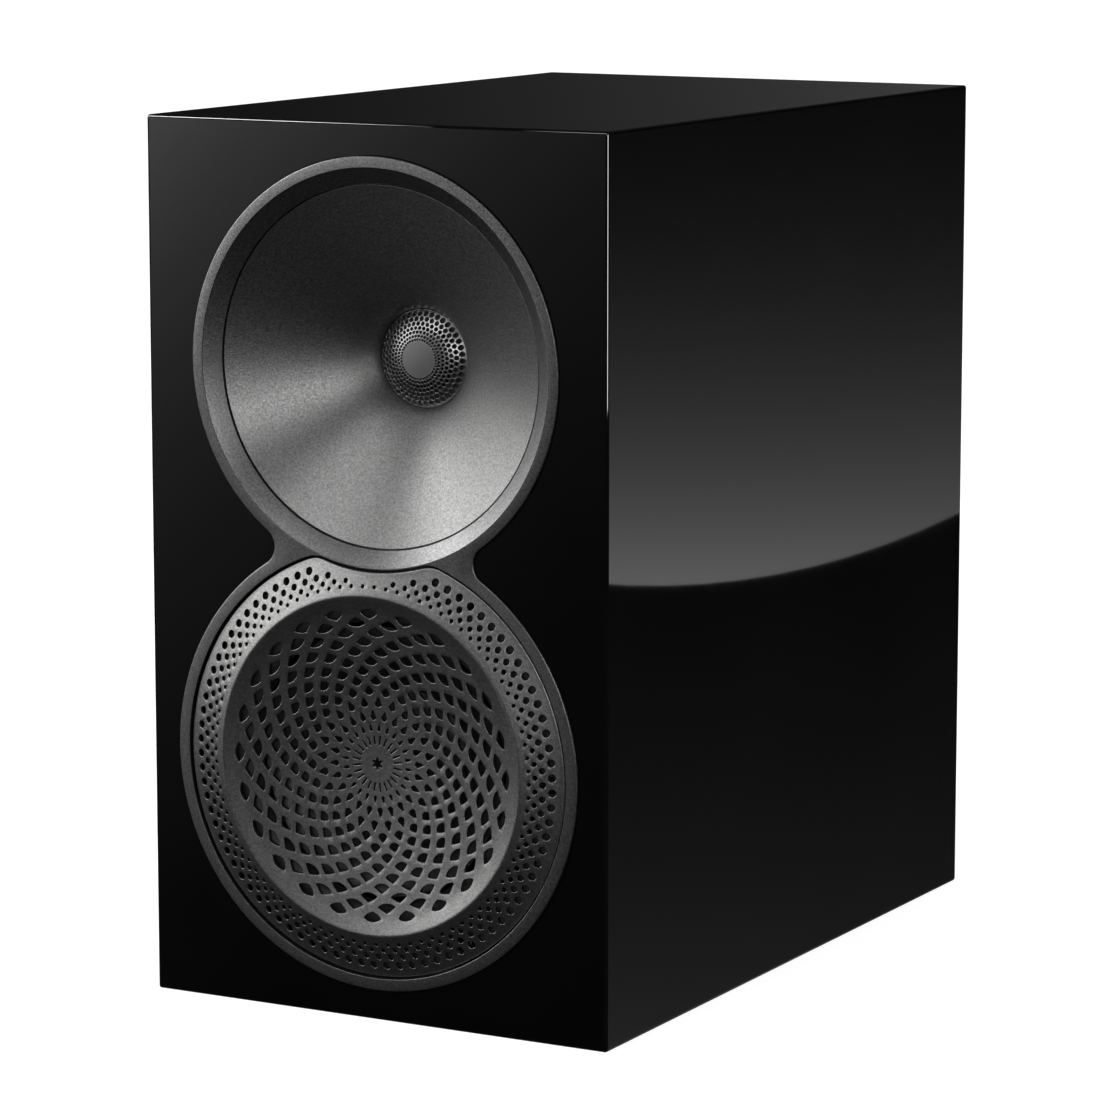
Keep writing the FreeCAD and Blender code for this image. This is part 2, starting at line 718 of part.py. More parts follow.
def tweeter_lens():
    """Perforated dome whose rings of holes grow towards its rim."""
    cap, edge, base = cells.lens_cap.value, cells.lens_radius.value, cells.lens_base.value
    thick = 0.8
    back = cells.motor_depth.value
    inner = edge - 2.0
    middle = (cap + edge) / 2
    outside = [*lines(at(0, lens_depth(0)), at(cap, lens_depth(cap))),
               arc(at(cap, lens_depth(cap)), at(middle, lens_depth(middle)), at(edge, base))]
    skirt = lines(at(edge, base), at(edge, back), at(edge - 0.9, back),
                  at(edge - 0.9, lens_depth(edge - 0.9) + 1.0),
                  at(inner, lens_depth(inner) + thick))
    halfway = (cap + inner) / 2
    under = [arc(at(inner, lens_depth(inner) + thick), at(halfway, lens_depth(halfway) + thick),
                 at(cap, lens_depth(cap) + thick)),
             *lines(at(cap, lens_depth(cap) + thick), at(0, lens_depth(0) + thick),
                    at(0, lens_depth(0)))]
    shape = revolved(outside + skirt + under)
    count = 42
    tools = []
    for ring, (r, diameter) in enumerate(((7.9, 0.65), (9.2, 0.8), (10.6, 0.95), (12.1, 1.1),
                                          (13.7, 1.3), (15.4, 1.5))):
        pin = Part.makeCylinder(diameter / 2, 8, at(r, base + 2))
        tools += around(pin, count, (ring % 2) * 180.0 / count)
    solid_part("tweeter_lens", shape.cut(Part.makeCompound(tools)), on_axis(cells.tweeter_height))


# ---------------------------------------------------------------- woofer

def woofer():
    z = cells.woofer_height
    seat, frame = cells.trim_seat, cells.frame_radius
    body = turned("woofer_frame", [
        (24, 62), (45, 62), (50, 46), (66, 10), (66, seat + 4), (frame, seat + 4), (frame, seat),
        (69.8, seat),
        (69.8, seat + 2), (62.8, seat + 2), (62.8, 9.5), (47, 45), (41.5, 45), (41.5, 47.5),
        (43.8, 47.5),
        (42.2, 58), (24, 58)], z)
    flat = sketch_in(body, "XY_Plane", "frame_flat_cut")
    polygon(flat, [(-45, cells.frame_flat), (45, cells.frame_flat), (45, frame + 1), (-45, frame + 1)])
    doc.recompute()
    pocket(body, flat, 0, through=True)
    hole = sketch_in(body, "XY_Plane", "frame_bolt_hole")
    circle(hole, 2.3, cells.woofer_bolt_circle, 0)
    doc.recompute()
    bolt = pocket(body, hole, 0, through=True)
    doc.recompute()
    ring = body.newObject("PartDesign::PolarPattern", "frame_bolt_ring")
    ring.Originals = [bolt]
    ring.Axis = (hole, ["N_Axis"])
    ring.Angle = 360
    ring.Occurrences = 6
    body.Tip = ring
    doc.recompute()
    gap = sketch_in(body, "XY_Plane", "frame_window")
    half = math.radians(19)
    polygon(gap, [(r * math.cos(a), r * math.sin(a)) for r, a in
                  ((48.6, -half), (61.8, -half), (62.0, 0), (61.8, half), (48.6, half), (48.0, 0))])
    doc.recompute()
    window = pocket(body, gap, 0, through=True)
    doc.recompute()
    spokes = body.newObject("PartDesign::PolarPattern", "frame_windows")
    spokes.Originals = [window]
    spokes.Axis = (gap, ["N_Axis"])
    spokes.Angle = 360
    spokes.Occurrences = 6
    body.Tip = spokes
    keep(body, "woofer_basket")

    gasket = turned("woofer_seal", [(67, seat + 4), (72.6, seat + 4), (72.6, cells.frame_seat),
                                    (67, cells.frame_seat)], z)
    keep(gasket, "woofer_gasket")
    gap_radius, pole = cells.gap_radius, cells.pole_radius
    keep(turned("woofer_top", [(gap_radius, 62), (41, 62), (41, 68), (gap_radius, 68)], z),
         "woofer_top_plate")
    keep(turned("woofer_ring", [(26, 68), (46, 68), (46, 86), (26, 86)], z), "woofer_magnet")
    keep(turned("woofer_back", [(7, 60.5), (pole, 60.5), (pole, 86), (42, 86), (42, 92), (7, 92)], z),
         "woofer_yoke")

    cone, coil = cells.cone_radius, cells.coil_radius
    keep(turned("woofer_diaphragm", [(cone, 6), (cone, 6.8), (cone - 2, 6.8), (coil + 0.7, 32),
                                     (coil + 0.7, 36),
                                     (coil, 36), (coil, 31.3), (cone - 2.6, 6)], z), "woofer_cone")
    keep(turned("woofer_tube", [(coil - 0.3, 31.3), (coil, 31.3), (coil, 74), (coil - 0.3, 74)], z),
         "woofer_former")
    keep(turned("woofer_winding", [(coil, 58), (coil + 0.4, 58), (coil + 0.4, 72), (coil, 72)], z),
         "woofer_coil")

    edge, deep, sag, skin = 24.5, 26.8, 6.0, 0.7
    keep(turned("woofer_cap", [
        (0, deep - sag), cap_bow(edge, deep - sag, sag), (edge, deep), (edge - 0.8, deep + 0.2),
        cap_bow(edge - 0.8, deep - sag + skin, sag - skin + 0.2), (0, deep - sag + skin)], z),
        "woofer_dust_cap")

    middle, outer, level = 60.2, 65.8, 6.0
    tall, thick = 5.2, 0.8
    keep(turned("woofer_roll", [
        (cone - 2.2, level), (cone, level), (middle, level - tall, BOW), (outer, level), (69.5, level),
        (69.5, level - thick), (outer + 0.75, level - thick), (middle, level - tall - thick, BOW),
        (cone - 0.75, level - thick), (cone - 2.2, level - thick)], z), "woofer_surround")

    first, last, waves = coil.value, 41.0, 12
    crest = [(first + 1.5 + (last - first - 1.5) * i / waves, 44.6 + (0.9 if i % 2 else -0.9))
             for i in range(waves + 1)]
    top_line = [(first, 44.2)] + crest + [(46.4, 44.4)]
    low_line = [(46.4, 45.0), (41.2, 45.0)] + [(r, d + 0.5) for r,
                                               d in reversed(crest[:-1])] + [(first, 44.8)]
    keep(turned("woofer_damper", [(r, d) for r, d in top_line + low_line], z), "woofer_spider")


def plate_depth(r):
    """Front surface of the woofer's phase plate: a dish inside a raised rim."""
    dish, crest, edge = 60.0, 65.5, cells.plate_radius.value
    if r <= dish:
        return 1.9 - 5.2 * (r / dish) ** 2
    if r <= crest:
        return -3.3 - 1.6 * math.sin((r - dish) / (crest - dish) * math.pi / 2)
    return -4.9 + 4.9 * (r - crest) / (edge - crest)


def plate_body(offset, deep, reach):
    """Everything between the phase plate's front surface, moved back by offset, and a depth."""
    dish = [at(r, plate_depth(r) + offset) for r in (0.0, 30.0, 60.0)]
    rim = [at(r, plate_depth(r) + offset) for r in (60.0, 62.8, 65.5)]
    last = plate_depth(reach) + offset
    edges = [arc(*dish), arc(*rim), *lines(at(65.5, -4.9 + offset), at(reach, last), at(reach, deep),
                                           at(0, deep),
                                               at(0, plate_depth(0) + offset))]
    return revolved(edges)


def fan_opening(radius, angle, tall, wide):
    """One opening of the spiral pattern: pointed outwards, round inwards."""
    turn = math.radians(angle)
    across = math.radians(wide) / 2

    def spot(r, a):
        return Vector(r * math.sin(turn + a), r * math.cos(turn + a), -12)

    apex, low = spot(radius + tall * 0.52, 0), spot(radius - tall * 0.48, 0)
    left, right = spot(radius - tall * 0.02, -across), spot(radius - tall * 0.02, across)
    wire = Part.Wire([Part.LineSegment(left, apex).toShape(), Part.LineSegment(apex, right).toShape(),
                      Part.Arc(right, low, left).toShape()])
    return Part.Face(wire).extrude(Vector(0, 0, 24))


def phase_plate():
    z = cells.woofer_height
    drop = Placement(Vector(0, cells.tweeter_height.value - z.value, 0), Rotation())
    prisms = []
    for name, grow in (("phase_plate_line", 0.0), ("phase_plate_inner", -cells.plate_skirt.value)):
        sketch = doc.addObject("Sketcher::SketchObject", name)
        plate_outline(sketch, grow)
        doc.recompute()
        face = Part.Face(Part.Wire(Part.__sortEdges__(sketch.Shape.Edges)))
        prism = face.extrude(Vector(0, 0, 30))
        prism.translate(Vector(0, 0, -15))
        prisms.append(prism.transformed(drop.toMatrix()))
    seat, thick = cells.trim_seat.value, cells.plate_thick.value
    shell = plate_body(0, seat, 84).common(prisms[0])
    shell = shell.cut(plate_body(thick, seat + 2, 84).common(prisms[1]))

    tools = []
    per_turn = 24
    for row in range(12):
        radius = 58.9 - 3.78 * row if row < 9 else 28.7 - 4.88 * (row - 8)
        angle = 14.6 - 6.3 * min(row, 8) - 6.75 * max(row - 8, 0)
        tall, wide = (3.7, 7.9) if row < 9 else (4.0, 7.6)
        if row == 11:
            tall, wide = 3.0, 5.2
        tools += around(fan_opening(radius, angle, tall, wide), per_turn)
    tools += around(fan_opening(9.2, 7.8, 3.6, 4.6), per_turn)
    around_rim = 86
    notch = cells.plate_notch.value + 4.0
    for row, (radius, hole) in enumerate(((77.6, 1.45), (74.1, 1.2), (71.3, 0.95), (69.1, 0.72))):
        for k in range(around_rim):
            angle = math.radians((k + 0.5 * (row % 2)) * 360.0 / around_rim)
            x, y = radius * math.sin(angle), radius * math.cos(angle)
            if math.hypot(x, y - drop.Base.y) > notch:
                tools.append(Part.makeCylinder(hole, 24, Vector(x, y, -12)))
    tools.append(Part.makeCylinder(1.5, 24, Vector(0, 0, -12)))
    solid_part("woofer_phase_plate", shell.cut(Part.makeCompound(tools)), on_axis(z))


# ---------------------------------------------------------------- rear fittings

def rear_turned(name, profile, x, height, depth=0):
    """A body of revolution about an axis that leaves the rear board; points are (radius, height out of the board)."""
    body = turned(name, [(r, -size(h), *bow) for r, h, *bow in profile])
    return place(body, x, cells.face_y + cells.cabinet_depth + depth, height, REAR)


def port():
    inner, wall, flange, proud = cells.port_radius, cells.port_wall, cells.port_flange, cells.rear_proud
    tail = proud - cells.port_length
    flare, bell, turn, collar = 11.0, 8.0, 1 - math.sqrt(0.5), cells.port_collar
    keep(rear_turned("port_horn", [
        (inner + flare, proud), (inner + flare * turn, proud - flare * turn, BOW),
        (inner, proud - flare),
        (inner, tail + bell), (inner + bell * turn, tail + bell * turn, BOW), (inner + bell, tail),
        (inner + bell, tail + 2), (inner + wall, tail + bell + 1), (inner + wall, 0 - collar),
        (inner + flare + 1.5, 0 - collar), (inner + flare + 1.5, 0), (flange - 0.4, 0),
        (flange, 0.4), (flange - 0.6, proud)], 0, cells.port_height), "port_tube")


def terminal_cup():
    back, proud = cells.face_y + cells.cabinet_depth, cells.rear_proud
    z, wide, tall, deep = cells.cup_height, cells.cup_width, cells.cup_tall, cells.cup_deep
    flange = rounded_plate("cup_flange", (wide * -0.5 - 11, back, z - tall * 0.5 - 11),
                           (wide + 22, proud, tall + 22), 6)
    shell = rounded_plate("cup_shell", (wide * -0.5, back + proud - deep - 2.5, z - tall * 0.5),
                          (wide, deep + 1.5, tall), 4)
    hollow = rounded_plate("cup_hollow", (wide * -0.5 + 2.2, back + proud - deep, z - tall * 0.5 + 2.2),
                           (wide - 4.4, deep + 1, tall - 4.4), 3)
    outer = doc.addObject("Part::Fuse", "cup_outer")
    outer.Base = flange
    outer.Tool = shell
    inward = Rotation(Vector(1, 0, 0), -90)
    tools = [hollow]
    for i, x in enumerate((cells.post_spacing * -0.5, cells.post_spacing * 0.5)):
        tools.append(rod(f"cup_post_hole_{i}", cells.post_radius + 0.02, 8,
                         (x, back + proud - deep - 5, z), inward))
    screws = []
    for i, (x, height) in enumerate(cup_corners()):
        tools.append(rod(f"cup_screw_hole_{i}", CUP_SCREW + 0.2, 8, (x, back - 3, height), inward))
        sink = doc.addObject("Part::Cone", f"cup_screw_sink_{i}")
        bind(sink, Radius1=CUP_SCREW, Radius2=CUP_SCREW * 1.7, Height=CUP_SCREW * 0.7)
        tools.append(place(sink, x, back + proud - CUP_SCREW * 0.7, height, inward))
        screw = countersunk(0, 0, 13.5, CUP_SCREW)
        screw.Placement = Placement(Vector(x.value, (back + proud).value, height.value), REAR)
        screws.append(screw)
    keep(cut("terminal_cup_cut", outer, *tools), "terminal_cup")
    solid_part("terminal_screws", Part.makeCompound(screws))


def rounded_plate(name, low, span, corner):
    """A box with its four depth-wise edges rounded."""
    block = box(name + "_block", low, span)
    doc.recompute()
    edges = [(n, corner, corner) for n, e in enumerate(block.Shape.Edges, 1)
             if abs(e.Vertexes[0].Point.y - e.Vertexes[1].Point.y) > 1e-6]
    item = doc.addObject("Part::Fillet", name)
    item.Base = block
    item.Edges = edges
    return item


def hexagon(radius, low, tall):
    """A hexagonal prism about local Z."""
    corners = [Vector(radius * math.cos(math.radians(60 * i)), radius * math.sin(math.radians(60 * i)),
                      low)
               for i in range(7)]
    return Part.Face(Part.makePolygon(corners)).extrude(Vector(0, 0, tall))


def binding_posts():
    """Two screw terminals: a drilled brass stem, a base collar, a loose washer, a threaded insert and its cap."""
    z, floor = cells.cup_height, cells.rear_proud.value - cells.cup_deep.value
    stem = cells.post_radius
    nuts = []
    for colour, side in (("red", -1), ("black", 1)):
        x = cells.post_spacing * 0.5 * side
        top = floor + 17.6
        socket, deep = cells.socket_radius, cells.socket_deep
        body = rear_turned(colour + "_stem", [
            (0, floor - 16), (stem - 0.3, floor - 16), (stem, floor - 15.7), (stem, top - 0.4),
            (stem - 0.4, top),
            (socket, top), (socket, top - deep), (0, top - deep - 0.8)], x, z)
        across = sketch_in(body, "XZ_Plane", colour + "_wire_hole")
        circle(across, 1.1, 0, floor + 5.0)
        doc.recompute()
        feature = pocket(body, across, 0, through=True)
        body.Tip = feature
        keep(body, colour + "_post_stem")
        keep(rear_turned(colour + "_collar", [(stem + 0.02, floor), (7, floor), (7, floor + 1.4),
                                              (6.6, floor + 1.8),
                                              (stem + 0.02, floor + 1.8)], x, z), colour + "_post_base")
        keep(rear_turned(colour + "_ring", [(stem + 0.06, floor + 1.8), (5.8, floor + 1.8),
                                            (5.8, floor + 3.0),
                                            (stem + 0.06, floor + 3.0)], x, z),
                                            colour + "_clamp_washer")
        keep(rear_turned(colour + "_bush", [(stem + 0.06, floor + 3.0), (5.0, floor + 3.0),
                                            (5.0, floor + 4.0), (4.4, floor + 4.0),
                                            (4.4, floor + 15.4), (stem + 0.06, floor + 15.4)], x, z),
                                            colour + "_knob_insert")
        knob = cells.knob_radius
        low, high = floor + 4.0, floor + 16.4
        grip = rear_turned(colour + "_grip", [
            (4.4, low), (knob, low), (knob, high - 0.8), (knob - 0.24, high - 0.24, BOW),
            (knob - 0.8, high),
            (3.3, high), (3.3, high - 1.0), (4.4, high - 1.0)], x, z)
        flute = sketch_in(grip, "XY_Plane", colour + "_flute")
        circle(flute, 0.7, knob + 0.25, 0)
        doc.recompute()
        groove = pocket(grip, flute, 0, through=True)
        doc.recompute()
        ring = grip.newObject("PartDesign::PolarPattern", colour + "_flutes")
        ring.Originals = [groove]
        ring.Axis = (flute, ["N_Axis"])
        ring.Angle = 360
        ring.Occurrences = 18
        grip.Tip = ring
        keep(grip, colour + "_post_knob")
        where = Placement(Vector(x.value, (cells.face_y + cells.cabinet_depth).value, z.value), REAR)
        nut = hexagon(5.6, floor - 5.1, 2.6).cut(Part.makeCylinder(3.0, 5, Vector(0, 0, floor - 6)))
        tab = Part.makeBox(8, 17, 0.8, Vector(-4, -12.5, floor - 5.9)).cut(
            Part.makeCylinder(3.0, 5, Vector(0, 0, floor - 8)))
        for piece in (nut, tab):
            piece.Placement = where
            nuts.append(piece)
    solid_part("post_nuts_and_tabs", Part.makeCompound(nuts))


# ---------------------------------------------------------------- crossover and wiring

def group(name, pieces):
    """Several loose pieces kept as one sub-part."""
    item = doc.addObject("Part::Compound", name + "_group")
    item.Links = pieces
    return keep(item, name)


def crossover():
    wide, long, z, thick = cells.board_width, cells.board_length, BOARD_Z, 1.6
    board = box("board_sheet", (wide * -0.5, BOARD_Y, z), (wide, long, thick))
    up, floor, top = Rotation(), cells.wall, z + thick
    holes, pillars, screws = [], [], []
    for i, (x, y) in enumerate(board_corners()):
        holes.append(rod(f"board_hole_{i}", BOARD_SCREW + 0.2, 4, (x, y, z - 1), up))
        pillar = rod(f"pillar_{i}", 3.5, z - floor, (x, y, floor), up)
        pillars.append(cut(f"spacer_{i}", pillar, rod(f"pillar_hole_{i}", BOARD_SCREW + 0.2, 20,
                                                      (x, y, floor - 1), up)))
        screw = pan_head(0, 0, 16, BOARD_SCREW, 2.8, 1.8)
        screw.translate(Vector(x, y, top))
        screws.append(screw)
    keep(cut("board_cut", board, *holes), "crossover_board")
    group("board_spacers", pillars)
    solid_part("board_screws", Part.makeCompound(screws))

    bobbins, coils = [], []
    coil_sizes = ((-28.0, BOARD_Y + 66, 20.0, 9.0, 18.0), (30.0, BOARD_Y + 24, 15.0, 7.0, 14.0))
    for i, (x, y, outer, core, tall) in enumerate(coil_sizes):
        spool = doc.addObject("Part::MultiFuse", f"spool_{i}")
        spool.Shapes = [rod(f"spool_core_{i}", core, tall, (x, y, top), up),
                        rod(f"spool_foot_{i}", outer, 1.5, (x, y, top), up),
                        rod(f"spool_head_{i}", outer, 1.5, (x, y, top + tall - 1.5), up)]
        bobbins.append(cut(f"bobbin_{i}", spool, rod(f"spool_hole_{i}", core - 2, tall + 2,
                                                     (x, y, top - 1), up)))
        winding = rod(f"winding_{i}", outer - 1.5, tall - 3, (x, y, top + 1.5), up)
        coils.append(cut(f"coil_{i}", winding, rod(f"winding_hole_{i}", core, tall, (x, y, top), up)))
    group("inductor_bobbins", bobbins)
    group("inductor_coils", coils)

    cans = []
    sideways = Rotation(Vector(0, 1, 0), 90)
    can_sizes = ((-46.0, BOARD_Y + 14, 8.0, 30.0), (-46.0, BOARD_Y + 34, 7.0, 26.0),
                 (16.0, BOARD_Y + 52, 9.0, 34.0))
    for i, (x, y, radius, length) in enumerate(can_sizes):
        can = rod(f"can_{i}", radius, length, (x, y, top + radius), sideways)
        doc.recompute()
        rims = [(n, 1.0, 1.0) for n, e in enumerate(can.Shape.Edges, 1)
                if e.Curve.TypeId == "Part::GeomCircle"]
        rounded = doc.addObject("Part::Fillet", f"can_rounded_{i}")
        rounded.Base = can
        rounded.Edges = rims
        cans.append(rounded)
    group("capacitors", cans)
    group("resistors", [box(f"resistor_{i}", (8, BOARD_Y + 68 + 10 * i, top), (34, 7, 7))
                        for i in range(2)])


def terminals():
    """Solder tabs on the two drivers: a plate of plastic with two blades on each."""
    face, radius = cells.face_y.value, cells.motor_flange.value
    pieces = []
    for height, x, y in ((cells.tweeter_height.value, -radius - 2.1, face + 42.0),
                         (cells.woofer_height.value - 12, 48.8, face + 50.5)):
        side = 1 if x > 0 else -1
        pieces.append(Part.makeBox(2.0, 4.0, 18.0, Vector(x, y, height - 9)))
        for step in (-5, 5):
            outer = x + 2.0 if side > 0 else x - 6.0
            pieces.append(Part.makeBox(6.0, 0.8, 4.6, Vector(outer, y + 1.6, height + step - 2.3)))
    solid_part("driver_terminals", Part.makeCompound(pieces))


def rounded_path(points):
    """Straight runs joined by tangent arcs, each as large as its two runs allow."""
    edges, radii = [], []
    start = points[0]
    for before, corner, after in zip(points, points[1:], points[2:]):
        u, v = (before - corner).normalize(), (after - corner).normalize()
        turn = math.pi - u.getAngle(v)
        reach = 0.45 * min((before - corner).Length, (after - corner).Length)
        radii.append(reach / math.tan(turn / 2))
        a, b = corner + u * reach, corner + v * reach
        bisector = (u + v).normalize()
        half = (math.pi - turn) / 2
        centre = corner + bisector * (reach / math.cos(half))
        radius = reach * math.tan(half)
        middle = centre - bisector * radius
        edges += [Part.LineSegment(start, a).toShape(), Part.Arc(a, middle, b).toShape()]
        start = b
    edges.append(Part.LineSegment(start, points[-1]).toShape())
    return Part.Wire(edges), radii


def wire(points):
    """One insulated lead along a rounded path."""
    points = [Vector(*p) for p in points]
    path, radii = rounded_path(points)
    heading = (points[1] - points[0]).normalize()
    ring = Part.Wire(Part.makeCircle(cells.wire_radius.value, points[0], heading))
    lead = path.makePipeShell([ring], True, False)
    expected = math.pi * cells.wire_radius.value ** 2 * path.Length
    if abs(lead.Volume / expected - 1) > 0.02:
        raise ValueError(f"a lead's volume is {lead.Volume:.0f}, not {expected:.0f}")
    print("lead", round(path.Length), "mm, arcs", [round(r) for r in radii])
    return lead


def wiring():
    face, top = cells.face_y.value, BOARD_Z + 1.6
    woofer_z, tweeter_z = cells.woofer_height.value, cells.tweeter_height.value
    posts_y = (cells.face_y + cells.cabinet_depth + cells.rear_proud - cells.cup_deep).value
    sets = {"input_wires": [], "woofer_wires": [], "tweeter_wires": []}
    for side in (-1, 1):
        x = 9.5 * side
        sets["input_wires"].append(wire([
            (x, posts_y - 5.9, cells.cup_height.value - 10),
            (x, posts_y - 14, cells.cup_height.value - 10),
            (x * 0.9, posts_y - 24, cells.cup_height.value - 26), (x * 0.8, posts_y - 32, 48),
            (x * 0.8, BOARD_Y + 92, 36),
            (x * 0.8, BOARD_Y + 92, top)]))
        sets["tweeter_wires"].append(wire([
            (-48.1, face + 44, tweeter_z + 5 * side), (-54.0, face + 44, tweeter_z + 5 * side),
            (-57.0, face + 62, tweeter_z - 8 + 4 * side),
            (-55.0 - 3 * side, face + 96, tweeter_z - 34), (-48.0 - 3 * side, face + 124, 192),
            (-46.0 - 3 * side, face + 136, 150),
            (-54.0 - 2 * side, face + 148, 104), (-58.0 - 2 * side, BOARD_Y + 14, 62),
            (-52.0 - 2 * side, BOARD_Y + 46, 46),
            (-50.0 - 2.0 * side, BOARD_Y + 52, 36), (-50.0 - 2.0 * side, BOARD_Y + 52, top)]))
        sets["woofer_wires"].append(wire([
            (56.8, face + 52.5, woofer_z - 12 + 5 * side),
            (62.5, face + 52.5, woofer_z - 12 + 5 * side),
            (63.0 + side, face + 72, woofer_z - 22 + 4 * side),
            (58.0 + 2 * side, face + 104, woofer_z - 38 + 2 * side), (56.0 + 2 * side, face + 140, 44),
            (50.0 + 2 * side, BOARD_Y + 8, 42),
            (49.0 + 2.0 * side, BOARD_Y + 14, 36), (49.0 + 2.0 * side, BOARD_Y + 14, top)]))
    for name, leads in sets.items():
        solid_part(name, Part.makeCompound(leads))


# ---------------------------------------------------------------- build and export

cabinet()
trim_plate()
waveguide()
fasteners()
tweeter()
tweeter_lens()
woofer()
phase_plate()
port()
terminal_cup()
binding_posts()
crossover()
terminals()
wiring()
doc.recompute()

for item in doc.Objects:
    if "Invalid" in item.State or "Error" in item.State:
        raise RuntimeError(f"{item.Name} failed: {item.State}")
for name, item in NODES.items():
    if item.Shape.isNull() or not item.Shape.isValid() or not item.Shape.Solids:
        raise RuntimeError(f"{name} has no valid shape")
    if min(solid.Volume for solid in item.Shape.Solids) <= 0:
        raise RuntimeError(f"{name} is inside out")

os.makedirs("parts", exist_ok=True)
for name, item in NODES.items():
    item.Shape.exportStep(f"parts/{name}.step")
print(len(NODES), "sub-parts")
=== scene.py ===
# %% [markdown]
# # A two-way bookshelf loudspeaker
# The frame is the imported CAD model. It gives every body, node and size in metres, and this lesson dresses
# it: it rebuilds the visible pieces as finer meshes, gives each surface a procedural finish, and lights it.

# %% Load the frame
import json
import math

import bmesh
import bpy
import numpy as np
from mathutils import Matrix, Vector
from mathutils.geometry import delaunay_2d_cdt

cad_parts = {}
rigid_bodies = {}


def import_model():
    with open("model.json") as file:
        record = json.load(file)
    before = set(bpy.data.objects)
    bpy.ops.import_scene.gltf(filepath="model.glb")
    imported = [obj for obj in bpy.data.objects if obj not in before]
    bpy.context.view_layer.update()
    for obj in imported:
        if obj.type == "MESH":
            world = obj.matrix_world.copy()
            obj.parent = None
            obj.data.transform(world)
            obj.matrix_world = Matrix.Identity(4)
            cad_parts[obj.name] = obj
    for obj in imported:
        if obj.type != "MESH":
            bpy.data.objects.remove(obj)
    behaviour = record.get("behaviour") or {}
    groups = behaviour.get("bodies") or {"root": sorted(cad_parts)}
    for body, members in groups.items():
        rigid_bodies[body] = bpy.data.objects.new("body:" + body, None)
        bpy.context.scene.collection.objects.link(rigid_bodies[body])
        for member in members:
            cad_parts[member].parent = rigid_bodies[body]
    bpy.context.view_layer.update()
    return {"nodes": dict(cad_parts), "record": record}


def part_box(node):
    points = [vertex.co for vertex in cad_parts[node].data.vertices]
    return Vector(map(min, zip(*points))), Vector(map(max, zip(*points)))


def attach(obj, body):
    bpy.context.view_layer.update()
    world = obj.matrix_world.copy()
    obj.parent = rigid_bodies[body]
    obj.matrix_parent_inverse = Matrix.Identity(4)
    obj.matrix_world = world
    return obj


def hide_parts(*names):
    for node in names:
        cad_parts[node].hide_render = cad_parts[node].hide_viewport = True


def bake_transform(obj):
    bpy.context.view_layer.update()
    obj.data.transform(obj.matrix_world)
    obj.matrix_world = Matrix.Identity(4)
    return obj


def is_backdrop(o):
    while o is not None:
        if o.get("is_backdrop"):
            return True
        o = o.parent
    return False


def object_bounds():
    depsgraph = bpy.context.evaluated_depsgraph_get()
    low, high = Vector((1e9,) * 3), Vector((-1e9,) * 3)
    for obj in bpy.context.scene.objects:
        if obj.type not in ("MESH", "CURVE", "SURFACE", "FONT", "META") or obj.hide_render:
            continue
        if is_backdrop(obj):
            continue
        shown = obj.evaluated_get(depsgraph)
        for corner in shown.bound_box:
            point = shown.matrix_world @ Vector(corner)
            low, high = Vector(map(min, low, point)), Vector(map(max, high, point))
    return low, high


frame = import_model()

# %% [markdown]
# ## Where things are
# A loudspeaker is drawn round its driver axes. World coordinates would work, but every profile would carry
# the same offsets. So each driver gets a drawing plane in millimetres whose x runs to the right, y runs up
# and z comes out of the baffle, and a depth behind the baffle is a negative z.

# %% Datum points
MM = 0.001
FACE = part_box("front_baffle")[0].y
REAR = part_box("rear_panel")[1].y


def middle_height(node):
    low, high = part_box(node)
    return (low.z + high.z) / 2


TWEETER_Z = middle_height("tweeter_top_plate")
WOOFER_Z = middle_height("woofer_top_plate")
PORT_Z = middle_height("port_tube")
CUP_Z = middle_height("terminal_cup")
BETWEEN = (TWEETER_Z - WOOFER_Z) / MM
out_of_baffle = Matrix.Rotation(math.radians(90), 4, "X")
out_of_rear = Matrix.Rotation(math.radians(180), 4, Vector((0, 1, 1)))
print(f"tweeter axis {TWEETER_Z:.4f} m, woofer axis {WOOFER_Z:.4f} m, {BETWEEN:.1f} mm apart")

# %% [markdown]
# ## Finishes
# The object is lacquered board, sprayed metal, moulded plastic, rubber, cloth and brass. Each could be made
# from a scanned texture, but a scan repeats and has one resolution, so every finish here is procedural: a
# Principled surface with two close colours mixed by a cloud of noise, a roughness that wanders, and a bump
# at the size of the real grain. One maker serves all, and only numbers differ between lacquer and brass.

# %% Shader helpers
def wire_up(tree, source, target):
    tree.links.new(source, target)


def node(tree, kind, **values):
    """A shader node whose properties, or else whose sockets, are set by name."""
    made = tree.nodes.new(kind)
    for key, value in values.items():
        if hasattr(made, key):
            setattr(made, key, value)
        else:
            made.inputs[key.replace("_", " ")].default_value = value
    return made


def noise_of(tree, scale, detail=3.0, stretch=None):
    """A noise in object space: scale is in features per metre."""
    place = node(tree, "ShaderNodeTexCoord")
    cloud = node(tree, "ShaderNodeTexNoise", Scale=scale, Detail=detail)
    source = place.outputs["Object"]
    if stretch:
        spread = node(tree, "ShaderNodeMapping")
        spread.inputs["Scale"].default_value = stretch
        wire_up(tree, source, spread.inputs["Vector"])
        source = spread.outputs["Vector"]
    wire_up(tree, source, cloud.inputs["Vector"])
    return cloud.outputs["Fac"]


NOISE_LOW, NOISE_HIGH = 0.3, 0.7


def ranged(tree, source, low, high):
    """A noise seldom leaves its middle range, so that range is spread from low to high."""
    span = node(tree, "ShaderNodeMapRange")
    span.inputs["From Min"].default_value, span.inputs["From Max"].default_value = NOISE_LOW, NOISE_HIGH
    span.inputs["To Min"].default_value, span.inputs["To Max"].default_value = low, high
    wire_up(tree, source, span.inputs["Value"])
    return span.outputs["Result"]


